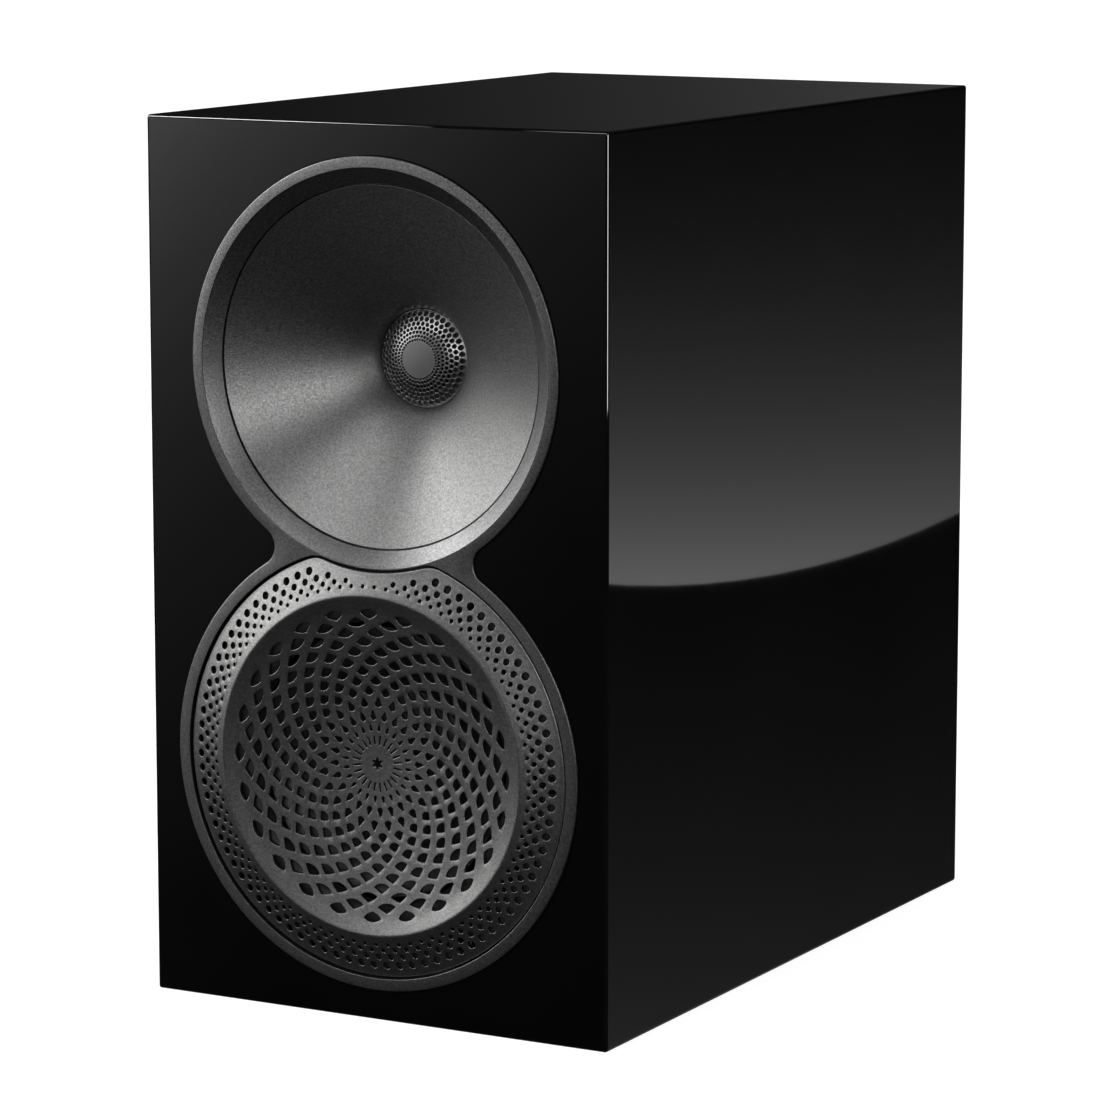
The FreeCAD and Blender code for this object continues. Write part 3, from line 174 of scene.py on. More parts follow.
def maths(tree, operation, source, value=0.0):
    """One maths node fed by a socket and a number."""
    made = node(tree, "ShaderNodeMath", operation=operation)
    made.inputs[1].default_value = value
    wire_up(tree, source, made.inputs[0])
    return made.outputs[0]


print("a noise is spread from", NOISE_LOW, "to", NOISE_HIGH)

# %% A maker of finishes
FINISHES = {}


def make_finish(name, dark, light, rough, cloud=60.0, grain=2500.0, bump=0.1, depth=0.00004, stretch=None,
                **sockets):
    """dark and light are colours, rough the lowest and highest roughness, cloud and grain are per metre."""
    made = bpy.data.materials.new(name)
    made.use_nodes = True
    tree = made.node_tree
    surface = tree.nodes["Principled BSDF"]
    colours = node(tree, "ShaderNodeMix", data_type="RGBA")
    mixed = {socket.name: socket for socket in colours.inputs if socket.type == "RGBA"}
    mixed["A"].default_value, mixed["B"].default_value = (*dark, 1), (*light, 1)
    wire_up(tree, ranged(tree, noise_of(tree, cloud), 0, 1), colours.inputs["Factor"])
    wire_up(tree, next(o for o in colours.outputs if o.type == "RGBA"), surface.inputs["Base Color"])
    wire_up(tree, ranged(tree, noise_of(tree, grain * 0.6, 2.0, stretch), *rough),
            surface.inputs["Roughness"])
    relief = node(tree, "ShaderNodeBump", Strength=bump, Distance=depth)
    wire_up(tree, noise_of(tree, grain, 4.0, stretch), relief.inputs["Height"])
    wire_up(tree, relief.outputs["Normal"], surface.inputs["Normal"])
    for socket, value in sockets.items():
        surface.inputs[socket.replace("_", " ")].default_value = value
    FINISHES[name] = made
    return made


print("finish maker ready")

# %% Cabinet and drive-unit finishes
make_finish("gloss_black_lacquer", (0.0005, 0.0005, 0.0006), (0.0011, 0.0011, 0.0012), (0.02, 0.03),
            cloud=9,
            grain=420, bump=0.01, depth=0.00001, Coat_Weight=0.6, Coat_Roughness=0.015, IOR=1.5)
make_finish("trim_grey", (0.15, 0.15, 0.151), (0.29, 0.29, 0.29), (0.34, 0.42), cloud=1300, grain=1500,
            bump=0.9,
            Metallic=1.0)
make_finish("plate_grey", (0.19, 0.19, 0.188), (0.33, 0.33, 0.327), (0.34, 0.42), cloud=1300, grain=1500,
            bump=0.9,
            Metallic=1.0)
make_finish("lens_grey", (0.31, 0.31, 0.31), (0.37, 0.37, 0.37), (0.28, 0.35), cloud=1800, grain=6200,
            bump=0.2,
            Metallic=1.0)
make_finish("cone_grey", (0.011, 0.011, 0.012), (0.017, 0.017, 0.018), (0.34, 0.45), cloud=400, grain=2600,
            bump=0.3)
# Painted shade: the tweeter dome is coloured near black, for the shadow that the lens casts on it.
make_finish("tweeter_dome_metal", (0.02, 0.02, 0.021), (0.03, 0.03, 0.031), (0.3, 0.4), cloud=700,
            grain=6000,
            Metallic=1.0)
make_finish("surround_rubber", (0.012, 0.012, 0.013), (0.022, 0.022, 0.023), (0.5, 0.65), cloud=90,
            grain=3000, bump=0.25)
make_finish("cast_frame", (0.02, 0.02, 0.021), (0.034, 0.034, 0.036), (0.45, 0.6), cloud=80, grain=1800,
            bump=0.4)
print(len(FINISHES), "finishes so far")

# %% Finishes of the rear and the inside
make_finish("black_plastic", (0.012, 0.012, 0.013), (0.02, 0.02, 0.021), (0.38, 0.5), cloud=60, grain=2200,
            bump=0.35)
make_finish("red_plastic", (0.36, 0.008, 0.008), (0.45, 0.014, 0.012), (0.22, 0.32), cloud=90, grain=2200,
            bump=0.1)
make_finish("plated_brass", (0.78, 0.52, 0.17), (0.86, 0.6, 0.24), (0.14, 0.24), cloud=200, grain=3500,
            bump=0.1,
            Metallic=1.0)
make_finish("screw_steel", (0.05, 0.05, 0.052), (0.085, 0.085, 0.09), (0.3, 0.42), cloud=300, grain=3500,
            Metallic=1.0)
make_finish("motor_steel", (0.30, 0.30, 0.29), (0.38, 0.38, 0.36), (0.3, 0.45), cloud=50, grain=900,
            bump=0.15,
            stretch=(1, 9, 1), Metallic=1.0)
make_finish("ferrite", (0.045, 0.045, 0.048), (0.075, 0.073, 0.072), (0.6, 0.75), cloud=70, grain=1700,
            bump=0.5)
make_finish("former_film", (0.40, 0.22, 0.07), (0.48, 0.28, 0.1), (0.25, 0.35), cloud=60, grain=1500)
make_finish("copper_winding", (0.52, 0.2, 0.09), (0.64, 0.27, 0.13), (0.2, 0.3), cloud=80, grain=2600,
            bump=0.8,
            stretch=(0.05, 0.05, 1), Metallic=1.0)
make_finish("spider_cloth", (0.42, 0.25, 0.07), (0.52, 0.33, 0.11), (0.6, 0.8), cloud=200, grain=2200,
            bump=0.9)
make_finish("raw_board", (0.42, 0.29, 0.17), (0.5, 0.36, 0.22), (0.7, 0.85), cloud=40, grain=1100, bump=0.5)
make_finish("foam", (0.05, 0.05, 0.055), (0.085, 0.085, 0.09), (0.85, 0.95), cloud=200, grain=900, bump=1.0,
            depth=0.0006)
make_finish("circuit_board", (0.015, 0.07, 0.025), (0.022, 0.10, 0.035), (0.25, 0.35), cloud=60, grain=1600)
make_finish("capacitor_film", (0.16, 0.09, 0.02), (0.22, 0.13, 0.03), (0.2, 0.3), cloud=60, grain=1300)
make_finish("resistor_ceramic", (0.62, 0.6, 0.55), (0.7, 0.68, 0.64), (0.6, 0.75), cloud=120, grain=2600,
            bump=0.4)
make_finish("wire_black", (0.012, 0.012, 0.012), (0.02, 0.02, 0.02), (0.35, 0.45), cloud=90, grain=2000)
print(len(FINISHES), "finishes so far")

# %% [markdown]
# ## Turned paint
# The waveguide is turned and then sprayed, and light runs over it in wedges that meet at the throat. The
# rings could be cut into the mesh, but they are far finer than its faces. So they are a sine wave in the
# bump, and an anisotropic highlight, turned a quarter, draws the wedges.

# %% The waveguide's finish
horn_paint = make_finish("waveguide_grey", (0.17, 0.17, 0.168), (0.31, 0.31, 0.307), (0.37, 0.44),
                         cloud=1300,
                         grain=1500, bump=0.9, Metallic=1.0, Anisotropic=0.5, Anisotropic_Rotation=0.25)


def add_turning_marks(made, per_metre, strength=0.10, depth=0.00003):
    """Rings round the piece's own z axis, laid over the grain, and a tangent that follows them."""
    tree = made.node_tree
    surface = tree.nodes["Principled BSDF"]
    grain = next(n for n in tree.nodes if n.type == "BUMP")
    place = node(tree, "ShaderNodeTexCoord")
    flat = node(tree, "ShaderNodeVectorMath", operation="MULTIPLY")
    flat.inputs[1].default_value = (1, 1, 0)
    reach = node(tree, "ShaderNodeVectorMath", operation="LENGTH")
    wire_up(tree, place.outputs["Object"], flat.inputs[0])
    wire_up(tree, flat.outputs["Vector"], reach.inputs[0])
    wave = maths(tree, "SINE", maths(tree, "MULTIPLY", reach.outputs["Value"], per_metre * 2 * math.pi))
    rings = node(tree, "ShaderNodeBump", Strength=strength, Distance=depth)
    wire_up(tree, wave, rings.inputs["Height"])
    wire_up(tree, grain.outputs["Normal"], rings.inputs["Normal"])
    wire_up(tree, rings.outputs["Normal"], surface.inputs["Normal"])
    around = node(tree, "ShaderNodeTangent", direction_type="RADIAL", axis="Z")
    wire_up(tree, around.outputs["Tangent"], surface.inputs["Tangent"])


add_turning_marks(horn_paint, 2200)
print("waveguide paint has", len(horn_paint.node_tree.nodes), "nodes")

# %% [markdown]
# ## Dressing the CAD nodes
# The cabinet panels, screws, motors, wires and crossover parts are already the right shape in the CAD model.
# They keep their CAD meshes, so nothing is modelled twice. The record says which slot each node takes its
# finish from, so one loop paints them all.

# %% Paint the frame
for part in frame["record"]["subparts"]:
    mesh = frame["nodes"][part["node"]].data
    mesh.materials.clear()
    mesh.materials.append(FINISHES[part["material_slot"]])

# %% [markdown]
# ## Tools for meshes
# Three shapes cover most of the object: a profile spun round an axis, a stack of loops joined like a loft,
# and a plate with many holes. Real edges are never sharp. A bevel modifier would round them after the event
# and stumble over the holes, so corners are rounded in the profile, before it is spun.

# %% Rounded corners
def soften(points, radius, steps=4, closed=False):
    """Round the corners of a line of (x, y) points. An entry's optional third number is its own radius."""
    line = [Vector(p[:2]) for p in points]
    radii = [p[2] if len(p) > 2 else radius for p in points]
    out = []
    for i, corner in enumerate(line):
        if not closed and i in (0, len(line) - 1):
            out.append(corner)
            continue
        u, v = line[i - 1] - corner, line[(i + 1) % len(line)] - corner
        angle = u.angle(v)
        if angle > math.radians(174) or radii[i] == 0:
            out.append(corner)
            continue
        reach = min(radii[i] / math.tan(angle / 2), 0.45 * u.length, 0.45 * v.length)
        a, b = corner + u.normalized() * reach, corner + v.normalized() * reach
        for s in range(steps + 1):
            t = s / steps
            out.append(a * (1 - t) ** 2 + corner * (2 * t * (1 - t)) + b * t * t)
    return [tuple(p) for p in out]


square = [(0, 0), (10, 0), (10, 10), (0, 10)]
print("a square with soft corners has", len(soften(square, 2, closed=True)), "points")


# %% Loops joined into skins
def join_loops(verts, faces, loops, closed_stack=False):
    """Quads between successive loops of vertex numbers; a loop of one repeated number makes triangles."""
    pairs = list(zip(loops, loops[1:]))
    if closed_stack:
        pairs.append((loops[-1], loops[0]))
    for a, b in pairs:
        for i in range(len(a)):
            j = (i + 1) % len(a)
            corners = list(dict.fromkeys((a[i], a[j], b[j], b[i])))
            if len(corners) > 2:
                faces.append(corners)


def spin(profile, segments=192, closed=True):
    """Spin (radius, z) points in millimetres round z."""
    verts, faces, loops = [], [], []
    for r, z in profile:
        start = len(verts)
        if r < 1e-6:
            verts.append((0, 0, z))
            loops.append([start] * segments)
            continue
        for i in range(segments):
            turn = 2 * math.pi * i / segments
            verts.append((r * math.cos(turn), r * math.sin(turn), z))
        loops.append(list(range(start, start + segments)))
    join_loops(verts, faces, loops, closed)
    return verts, faces


print("a small ring has", len(spin([(5, 0), (6, 0), (6, 1)], 12)[1]), "faces")


# %% Adding a piece
def merge(*parts):
    """Several (verts, faces) as one."""
    verts, faces = [], []
    for more_verts, more_faces in parts:
        shift = len(verts)
        verts += more_verts
        faces += [[shift + k for k in face] for face in more_faces]
    return verts, faces


def stand_at(height, y=None, turn=out_of_baffle, x=0.0):
    """Where a drawing plane stands: on the front face unless another y is given."""
    return Matrix.Translation((x, FACE if y is None else y, height)) @ turn


def add_piece(name, shape, place, body, finish, replaces=(), crease=32):
    """A mesh in millimetres, put in place in metres, riding on a CAD body."""
    verts, faces = shape
    mesh = bpy.data.meshes.new(name)
    mesh.from_pydata([Vector(v) * MM for v in verts], [], faces)
    tidy = bmesh.new()
    tidy.from_mesh(mesh)
    bmesh.ops.recalc_face_normals(tidy, faces=tidy.faces)
    tidy.to_mesh(mesh)
    tidy.free()
    mesh.shade_smooth()
    mesh.set_sharp_from_angle(angle=math.radians(crease))
    mesh.materials.append(FINISHES[finish])
    made = bpy.data.objects.new(name, mesh)
    bpy.context.scene.collection.objects.link(made)
    made.matrix_world = place
    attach(made, body)
    if replaces:
        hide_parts(*replaces)
    return made


print("the woofer's plane starts at", [round(v, 4) for v in stand_at(WOOFER_Z).translation])

# %% [markdown]
# ## Plates full of holes
# Perforated metal is stamped flat and then pressed. Cutting hundreds of holes with boolean operations is slow
# and leaves bad faces, so the plate is drawn flat, like the stamping: an outline and its holes. Delaunay
# triangulation fills the rest, and extra points inside let the sheet bend. The drawing is then lifted to the
# plate's surface, its edges are eased with a small quarter round, and a second skin closes the back.

# %% Offsetting a closed line
def offset_loop(points, distance):
    """Move a closed line sideways: positive grows a counter-clockwise loop."""
    ring = np.array(points, float)
    before, after = np.roll(ring, 1, 0), np.roll(ring, -1, 0)
    along_a, along_b = ring - before, after - ring
    normal_a = np.stack([along_a[:, 1], -along_a[:, 0]], 1) / np.linalg.norm(along_a, axis=1)[:, None]
    normal_b = np.stack([along_b[:, 1], -along_b[:, 0]], 1) / np.linalg.norm(along_b, axis=1)[:, None]
    normal = normal_a + normal_b
    length = np.maximum(np.linalg.norm(normal, axis=1)[:, None], 0.8)
    return ring + normal / length * distance * np.minimum(2 / length, 1.5)


print("the square grown by 1:", offset_loop(square, 1).round(2).tolist())


# %% Which side is solid
def solid_side(triangles, rings):
    """Keep the triangles inside the first ring and outside all the others, by spreading from their edges."""
    sides = {(a, b): n for n, t in enumerate(triangles) for a, b in zip(t, t[1:] + t[:1])}
    walls, spread = set(), []
    for k, ring in enumerate(rings):
        for a, b in zip(ring, ring[1:] + ring[:1]):
            walls.update({(a, b), (b, a)})
            edge = (a, b) if k == 0 else (b, a)
            if edge in sides:
                spread.append(sides[edge])
    kept = set()
    while spread:
        n = spread.pop()
        if n not in kept:
            kept.add(n)
            t = triangles[n]
            spread += [sides[b, a] for a, b in zip(t, t[1:] + t[:1]) if (a, b) not in walls
                       and (b, a) in sides]
    return [triangles[n] for n in sorted(kept)]


print("solid:", len(solid_side([[0, 1, 2], [0, 2, 3]], [[0, 1, 2, 3]])), "of the square's 2 triangles")


# %% The pierced plate
INSIDE_OF_EDGES, SNAP = 1, 1e-6


def pierced(outline, holes, front, back, inside=(), ease=0.2, rim=0.4, ease_steps=2, rim_steps=4):
    """A closed skin from flat loops. front and back give heights; inside is more points to bend at."""
    loops = [(outline, -rim, rim_steps)] + [(hole, ease, ease_steps) for hole in holes]
    points, edges, starts = [], [], []
    for loop, shift, _ in loops:
        drawn = offset_loop(loop, shift)
        starts.append(len(points))
        count = len(drawn)
        edges += [(len(points) + i, len(points) + (i + 1) % count) for i in range(count)]
        points += [Vector(p) for p in drawn]
    points += [Vector(p) for p in inside]
    found, _, triangles, sources, _, _ = delaunay_2d_cdt(points, edges, [], INSIDE_OF_EDGES, SNAP)
    home = {given: new for new, givens in enumerate(sources) for given in givens}
    rings = [[home[start + i] for i in range(len(loop))] for (loop, _, _), start in zip(loops, starts)]
    triangles = solid_side([list(t) for t in triangles], rings)
    used = {k for triangle in triangles for k in triangle}

    verts = [(p.x, p.y, front(p.x, p.y)) for p in found]
    under = {}
    faces = [list(t) for t in triangles]
    for (loop, shift, steps), top in zip(loops, rings):
        heights = [verts[k][2] for k in top]
        stack = [top]
        for s in range(1, steps + 1):
            turn = math.pi / 2 * s / steps
            ring = offset_loop(loop, shift * (1 - math.sin(turn)))
            drop = abs(shift) * (1 - math.cos(turn))
            stack.append(list(range(len(verts), len(verts) + len(loop))))
            verts += [(x, y, h - drop) for (x, y), h in zip(ring, heights)]
        stack.append(list(range(len(verts), len(verts) + len(loop))))
        verts += [(x, y, back(x, y)) for x, y in loop]
        under.update(zip(top, stack[-1]))
        join_loops(verts, faces, stack)
    for k in used - set(under):
        under[k] = len(verts)
        verts.append((verts[k][0], verts[k][1], back(verts[k][0], verts[k][1])))
    faces += [[under[k] for k in reversed(t)] for t in triangles]
    keep = sorted({k for face in faces for k in face})
    renumber = {old: new for new, old in enumerate(keep)}
    return [verts[k] for k in keep], [[renumber[k] for k in face] for face in faces]


print("a square plate has", len(pierced(square, [], lambda x, y: 1.0, lambda x, y: 0.0)[1]), "faces")

# %% [markdown]
# ## Outlines made of tangent arcs
# The trim is a figure eight: two big arcs joined by small hollow ones. The phase plate is a disc whose top
# is bitten away in line with the waveguide. A traced spline would wobble and hide the design, and both shapes
# are four arcs that meet without a corner, so the meeting points are worked out from the radii.

# %% Arcs and their meeting points
def arc_points(centre, radius, start, end, spacing=0.9):
    count = max(4, int(abs(end - start) * radius / spacing))
    return [(centre[0] + radius * math.cos(start + (end - start) * i / count),
             centre[1] + radius * math.sin(start + (end - start) * i / count)) for i in range(count)]


def meeting(y1, r1, y2, r2):
    """The point right of the axis that lies r1 from (0, y1) and r2 from (0, y2)."""
    gap = y1 - y2
    along = (gap * gap + r1 * r1 - r2 * r2) / (2 * gap)
    return math.sqrt(r1 * r1 - along * along), y1 - along


def heading(origin, target):
    """The angle at which one point sees another."""
    return math.atan2(target[1] - origin[1], target[0] - origin[0])


def trim_outline(grow=0.0, top=79.75, low=87.9, neck=7.5):
    """Counter-clockwise, in the woofer's drawing plane."""
    top, low, neck = top + grow, low + grow, neck - grow
    upper, lower = (0.0, BETWEEN), (0.0, 0.0)
    side = meeting(BETWEEN, top + neck, 0, low + neck)
    a, b = heading(upper, side), heading(lower, side)
    other = (-side[0], side[1])
    line = arc_points(upper, top, a, math.pi - a)
    line += arc_points(other, neck, -a, -b, 0.5)
    line += arc_points(lower, low, math.pi - b, 2 * math.pi + b)
    return line + arc_points(side, neck, math.pi + b, math.pi + a, 0.5)


def plate_outline(grow=0.0, notch=76.9, low=82.3, corner=12.0):
    """Counter-clockwise, with the notch concentric with the waveguide."""
    notch, low, corner = notch - grow, low + grow, corner + grow
    upper, lower = (0.0, BETWEEN), (0.0, 0.0)
    side = meeting(BETWEEN, notch + corner, 0, low - corner)
    a, b = heading(upper, side), heading(lower, side)
    other = (-side[0], side[1])
    line = arc_points(lower, low, math.pi - b, 2 * math.pi + b)
    line += arc_points(side, corner, b, math.pi + a, 0.5)
    line += arc_points(upper, notch, a, -math.pi - a)
    return line + arc_points(other, corner, -a, math.pi - b, 0.5)


def circle_points(centre, radius, count, start=0.0):
    return [(centre[0] + radius * math.cos(start + 2 * math.pi * i / count),
             centre[1] + radius * math.sin(start + 2 * math.pi * i / count)) for i in range(count)]


print("trim outline", len(trim_outline()), "points; phase plate outline", len(plate_outline()), "points")

# %% [markdown]
# ## The trim plate
# One machined plate, about a millimetre proud of the lacquer, frames both drivers and hides their screws. Its
# upper hole is dished: a wide cone leads down to the waveguide. A spun shape can't follow the figure eight,
# and the flat tool can't make a smooth cone, so the plate comes from the pierced tool and the cone is spun.

# %% Trim plate
TRIM_PROUD, TRIM_BACK = 1.0, -4.0
DISH_TOP, DISH_LOW, GAP_ROUND_PLATE = 75.4, 69.3, 0.85
trim_shape = pierced(
    trim_outline(), [circle_points((0.0, BETWEEN), DISH_TOP, 300), plate_outline(GAP_ROUND_PLATE)],
    lambda x, y: TRIM_PROUD, lambda x, y: TRIM_BACK, ease=0.15, rim=0.6)
overlap = DISH_TOP + 0.2
dish_corners = [(overlap, 0.72), (DISH_LOW, -3.75, 0.6), (DISH_LOW, TRIM_BACK), (overlap, TRIM_BACK)]
dish_verts, dish_faces = spin(soften(dish_corners, 0, closed=True), 300)
dish_shape = [(x, y + BETWEEN, z) for x, y, z in dish_verts], dish_faces
trim = add_piece("trim_plate_skin", merge(trim_shape, dish_shape), stand_at(WOOFER_Z), "cabinet",
                 "trim_grey", ["trim_plate"], 20)
print("trim plate:", len(trim.data.polygons), "faces")

# %% [markdown]
# ## The waveguide
# The horn that loads the tweeter. Its wall is an oblate spheroid, the curve that spreads sound evenly: it
# leaves the throat straight and ends almost as a cone. A spline would only guess at that, and the curve has a
# formula, so the profile is computed and spun. A thin black groove sits between its lip and the trim.

# %% Waveguide
THROAT, MOUTH, THROAT_DEPTH, MOUTH_DEPTH = 19.2, 68.6, 39.5, 4.3


def horn_radius(depth):
    slope = math.sqrt(MOUTH ** 2 - THROAT ** 2) / (THROAT_DEPTH - MOUTH_DEPTH)
    return math.hypot(THROAT, (THROAT_DEPTH - depth) * slope)


FLARE_STEPS = 40
flare_depths = [MOUTH_DEPTH + (THROAT_DEPTH - MOUTH_DEPTH) * i / FLARE_STEPS
                for i in range(FLARE_STEPS, -1, -1)]
flare = [(horn_radius(d), -d) for d in flare_depths]
back_of_horn = [(69.0, -4.7), (69.0, -6.3), (69.75, -6.3), (69.75, -4.02), (75.0, -4.02), (75.0, -8.0),
                (65.4, -8.0)]
shell = [(horn_radius(d) + 3.4, -d) for d in (12, 20, 28)]
horn_profile = [(THROAT, -42.0)] + flare + back_of_horn + shell + [(32, -36), (40, -36), (40, -42)]
horn = add_piece("waveguide_skin", spin(horn_profile, 288), stand_at(TWEETER_Z), "cabinet",
                 "waveguide_grey", ["waveguide"], 40)
print("waveguide:", len(horn.data.polygons), "faces")

# %% [markdown]
# ## The tweeter's lens
# A thin metal dome in front of the tweeter guards it and evens out the paths from its middle and its edge.
# Rings of holes grow towards the rim, round a plain cap. Spinning can't pierce it and instanced holes would
# need booleans, so it is the pierced tool again, with a dome for its surface.

# %% Tweeter lens
LENS_EDGE, LENS_CAP, LENS_TOP, LENS_BASE = 19.0, 6.7, -34.0, -38.7


def lens_height(x, y):
    r = math.hypot(x, y)
    if r < LENS_CAP:
        return LENS_TOP + 0.12 * (1 - (r / LENS_CAP) ** 2)
    return LENS_TOP - (LENS_TOP - LENS_BASE) * min(1.0, (r - LENS_CAP) / (LENS_EDGE - LENS_CAP)) ** 1.9


LENS_SKIN, LENS_SKIRT, SKIRT_FROM = 0.8, 3.2, 18.6


def lens_back(x, y):
    return lens_height(x, y) - (LENS_SKIN if math.hypot(x, y) < SKIRT_FROM else LENS_SKIRT)


PER_RING, HOLE_SHARE = 42, 0.4
lens_holes = []
for ring, r in enumerate((7.6, 8.95, 10.45, 12.0, 13.65, 15.4, 17.3)):
    hole = HOLE_SHARE * 2 * math.pi * r / PER_RING
    for k in range(PER_RING):
        turn = 2 * math.pi * (k + 0.5 * (ring % 2)) / PER_RING
        lens_holes.append(circle_points((r * math.cos(turn), r * math.sin(turn)), hole, 12, turn))
bend_points = [p for r in (1.5, 3, 4.5, 5.6, 6.3, 6.7) for p in circle_points((0, 0), r, int(8 * r + 12))]
bend_points.append((0.0, 0.0))
lens_shape = pierced(circle_points((0, 0), LENS_EDGE, 252), lens_holes, lens_height, lens_back, bend_points,
                     ease=0.09, rim=0.3)
lens = add_piece("tweeter_lens_skin", lens_shape, stand_at(TWEETER_Z), "cabinet", "lens_grey",
                 ["tweeter_lens"], 20)
print("tweeter lens:", len(lens_holes), "holes,", len(lens.data.polygons), "faces")

# %% [markdown]
# ## The woofer's phase plate
# The most intricate piece guards the cone and lets its sound out: 24 spiral arms of fan-shaped openings in a
# shallow dish, and four rings of round holes in the raised flange. An image of the pattern would go soft in a
# close view and let no light through, so every opening is real. Each one is drawn in polar steps with rounded
# corners, and each row is turned a little further than the one outside it, which makes the spiral.

# %% The plate's surface
DISH_EDGE, CREST, CREST_HEIGHT = 60.0, 65.5, 5.0
PLATE_SKIN, PLATE_SEAT = 1.5, -3.95
dish = [(r, -1.9 + 5.2 * (r / DISH_EDGE) ** 2) for r in np.linspace(0, 58.5, 40)]
plate_profile = soften(dish + [(61.2, 3.75, 3.0), (CREST, CREST_HEIGHT, 2.2), (82.5, -0.05)], 0, steps=8)
profile_r, profile_z = np.array(plate_profile).T


def plate_front(x, y):
    return float(np.interp(math.hypot(x, y), profile_r, profile_z))


def plate_back(x, y):
    r = math.hypot(x, y)
    at_edge = r > 81.9 or math.hypot(x, y - BETWEEN) < 77.4
    return PLATE_SEAT if at_edge else plate_front(x, y) - PLATE_SKIN


print("phase plate rises from", min(profile_z), "to", max(profile_z), "mm")


# %% One fan-shaped opening
def fan(radius, turn, corners, rounding):
    """The first entry of corners is the half width in degrees. The others are (share of it, millimetres
    outwards), counter-clockwise, with an optional rounding."""
    half = corners[0]
    line = []
    for share, reach, *own in corners[1:]:
        angle = math.radians(90 - turn) - math.radians(half) * share
        r = radius + reach
        line.append((r * math.cos(angle), r * math.sin(angle), *own))
    return soften(line, rounding, 4, closed=True)


WIDE = [4.1, (0, 1.95, 0.5), (-0.55, 0.85, 9), (-1, -0.35, 0.3), (-0.8, -1.1, 3), (-0.38, -1.72, 3),
        (0, -1.85, 3), (0.38, -1.72, 3),
        (0.8, -1.1, 3), (1, -0.35, 0.3), (0.55, 0.85, 9)]
RIM_ROW = [3.75, (0, 1.85, 9), (-0.55, 1.45, 9), (-1, 0.55, 0.3), (-0.85, -0.35, 3), (-0.5, -1.4, 3),
           (0, -2.2, 0.5), (0.5, -1.4, 3),
           (0.85, -0.35, 3), (1, 0.55, 0.3), (0.55, 1.45, 9)]
TALL = [3.95, (0, 2.3, 0.35), (-0.5, 0.8, 9), (-1, -0.75, 0.5), (-0.7, -1.6, 3), (0, -2.0, 3),
        (0.7, -1.6, 3), (1, -0.75, 0.5), (0.5, 0.8, 9)]
SLOT = [2.85, (0, 1.6, 0.3), (-0.65, 0.4, 3), (-1, -0.7, 0.4), (-0.55, -1.4, 0.6), (0.55, -1.4, 0.6),
        (1, -0.7, 0.4), (0.65, 0.4, 3)]
HUB_SLOT = [2.8, (0.5, 1.8, 0.3), (-0.5, 1.8, 0.3), (-1, -1.75, 0.3), (1, -1.75, 0.3)]
FIRST_TURN, TURN_PER_ROW = 14.6, 6.3
spiral_rows = [(58.8, FIRST_TURN, RIM_ROW)]
spiral_rows += [(r, FIRST_TURN - TURN_PER_ROW * n, WIDE) for n,
                r in enumerate((55.2, 51.5, 47.7, 44.0, 40.1, 36.3, 32.5, 28.5), 1)]
spiral_rows += [(24.0, -42.55, TALL), (18.8, -49.3, TALL), (14.0, -56.05, SLOT), (9.15, -52.35, HUB_SLOT)]
ARMS = 24
openings = [fan(r, turn + 360 / ARMS * k, shape, 0.35) for r, turn, shape in spiral_rows
            for k in range(ARMS)]
print("spiral:", len(openings), "openings in", len(spiral_rows), "rows")

# %% Round holes and the hub
PER_TURN = 86
round_holes = []
for row, (r, hole, first) in enumerate([(77.6, 1.5, 4.9), (74.1, 1.25, 3.4), (71.3, 0.975, 1.9),
                                        (69.1, 0.75, 0.4)]):
    for k in range(PER_TURN):
        step = k + 0.5 * (row % 2)
        if min(step, PER_TURN - step) > first:
            turn = math.radians(90) - 2 * math.pi * step / PER_TURN
            round_holes.append(circle_points((r * math.cos(turn), r * math.sin(turn)), hole, 20))
LOBES, HUB_RADIUS, LOBE_HEIGHT = 6, 1.85, 0.55
hub_hole = []
for t in (2 * math.pi * i / 60 for i in range(60)):
    reach = HUB_RADIUS + LOBE_HEIGHT * math.cos(LOBES * t)
    hub_hole.append((reach * math.sin(-t), reach * math.cos(t)))
print("flange:", len(round_holes), "round holes")


# %% Points where the plate bends
def middles(loops):
    return [tuple(np.mean(np.array(loop), 0)) for loop in loops]


def clear_of(points, blocked, gap):
    """Keep the points that stay a gap away from every blocked centre."""
    centres = np.array(blocked)
    return [p for p in points if np.min(np.hypot(*(centres - np.array(p)).T)) > gap]


rings_between = [p for r in (61.6, 62.2, 62.8, 63.4, 63.9, 64.4, 64.8, 65.2, 65.5, 65.8, 66.2, 66.6, 67.1,
                             67.7)
                 for p in circle_points((0, 0), r, 300)]
hub_points = [p for r in (3.2, 4.4, 5.6, 6.6) for p in circle_points((0, 0), r, 48)]
GRID_STEP = 1.4
grid = [(x * GRID_STEP, y * GRID_STEP) for x in range(-60, 61) for y in range(-60, 61)]
grid = [p for p in grid if 12 < math.hypot(*p) < 60.5
        or (68 < math.hypot(*p) < 81 and math.hypot(p[0], p[1] - BETWEEN) > 78.5)]
grid = clear_of(clear_of(grid, middles(openings), 2.9), middles(round_holes), 1.9)
print("bending points:", len(rings_between), "on rings,", len(grid), "on the grid")

# %% Phase plate
plate_shape = pierced(plate_outline(), [*openings, *round_holes, hub_hole], plate_front, plate_back,
                      rings_between + hub_points + grid, ease=0.16, rim=0.7, rim_steps=5)
plate = add_piece("phase_plate_skin", plate_shape, stand_at(WOOFER_Z), "cabinet", "plate_grey",
                  ["woofer_phase_plate"], 20)
print("phase plate:", len(plate.data.polygons), "faces")

# %% [markdown]
# ## The woofer behind the plate
# A coated cone and its dust cap are just visible through the openings. They move as one, so both ride on the
# diaphragm's body. Paper this thin could be a single sheet with a solidify modifier, but then the two faces
# would shade the same, so each profile is drawn closed, with its own back. The tweeter's dome is made alike.

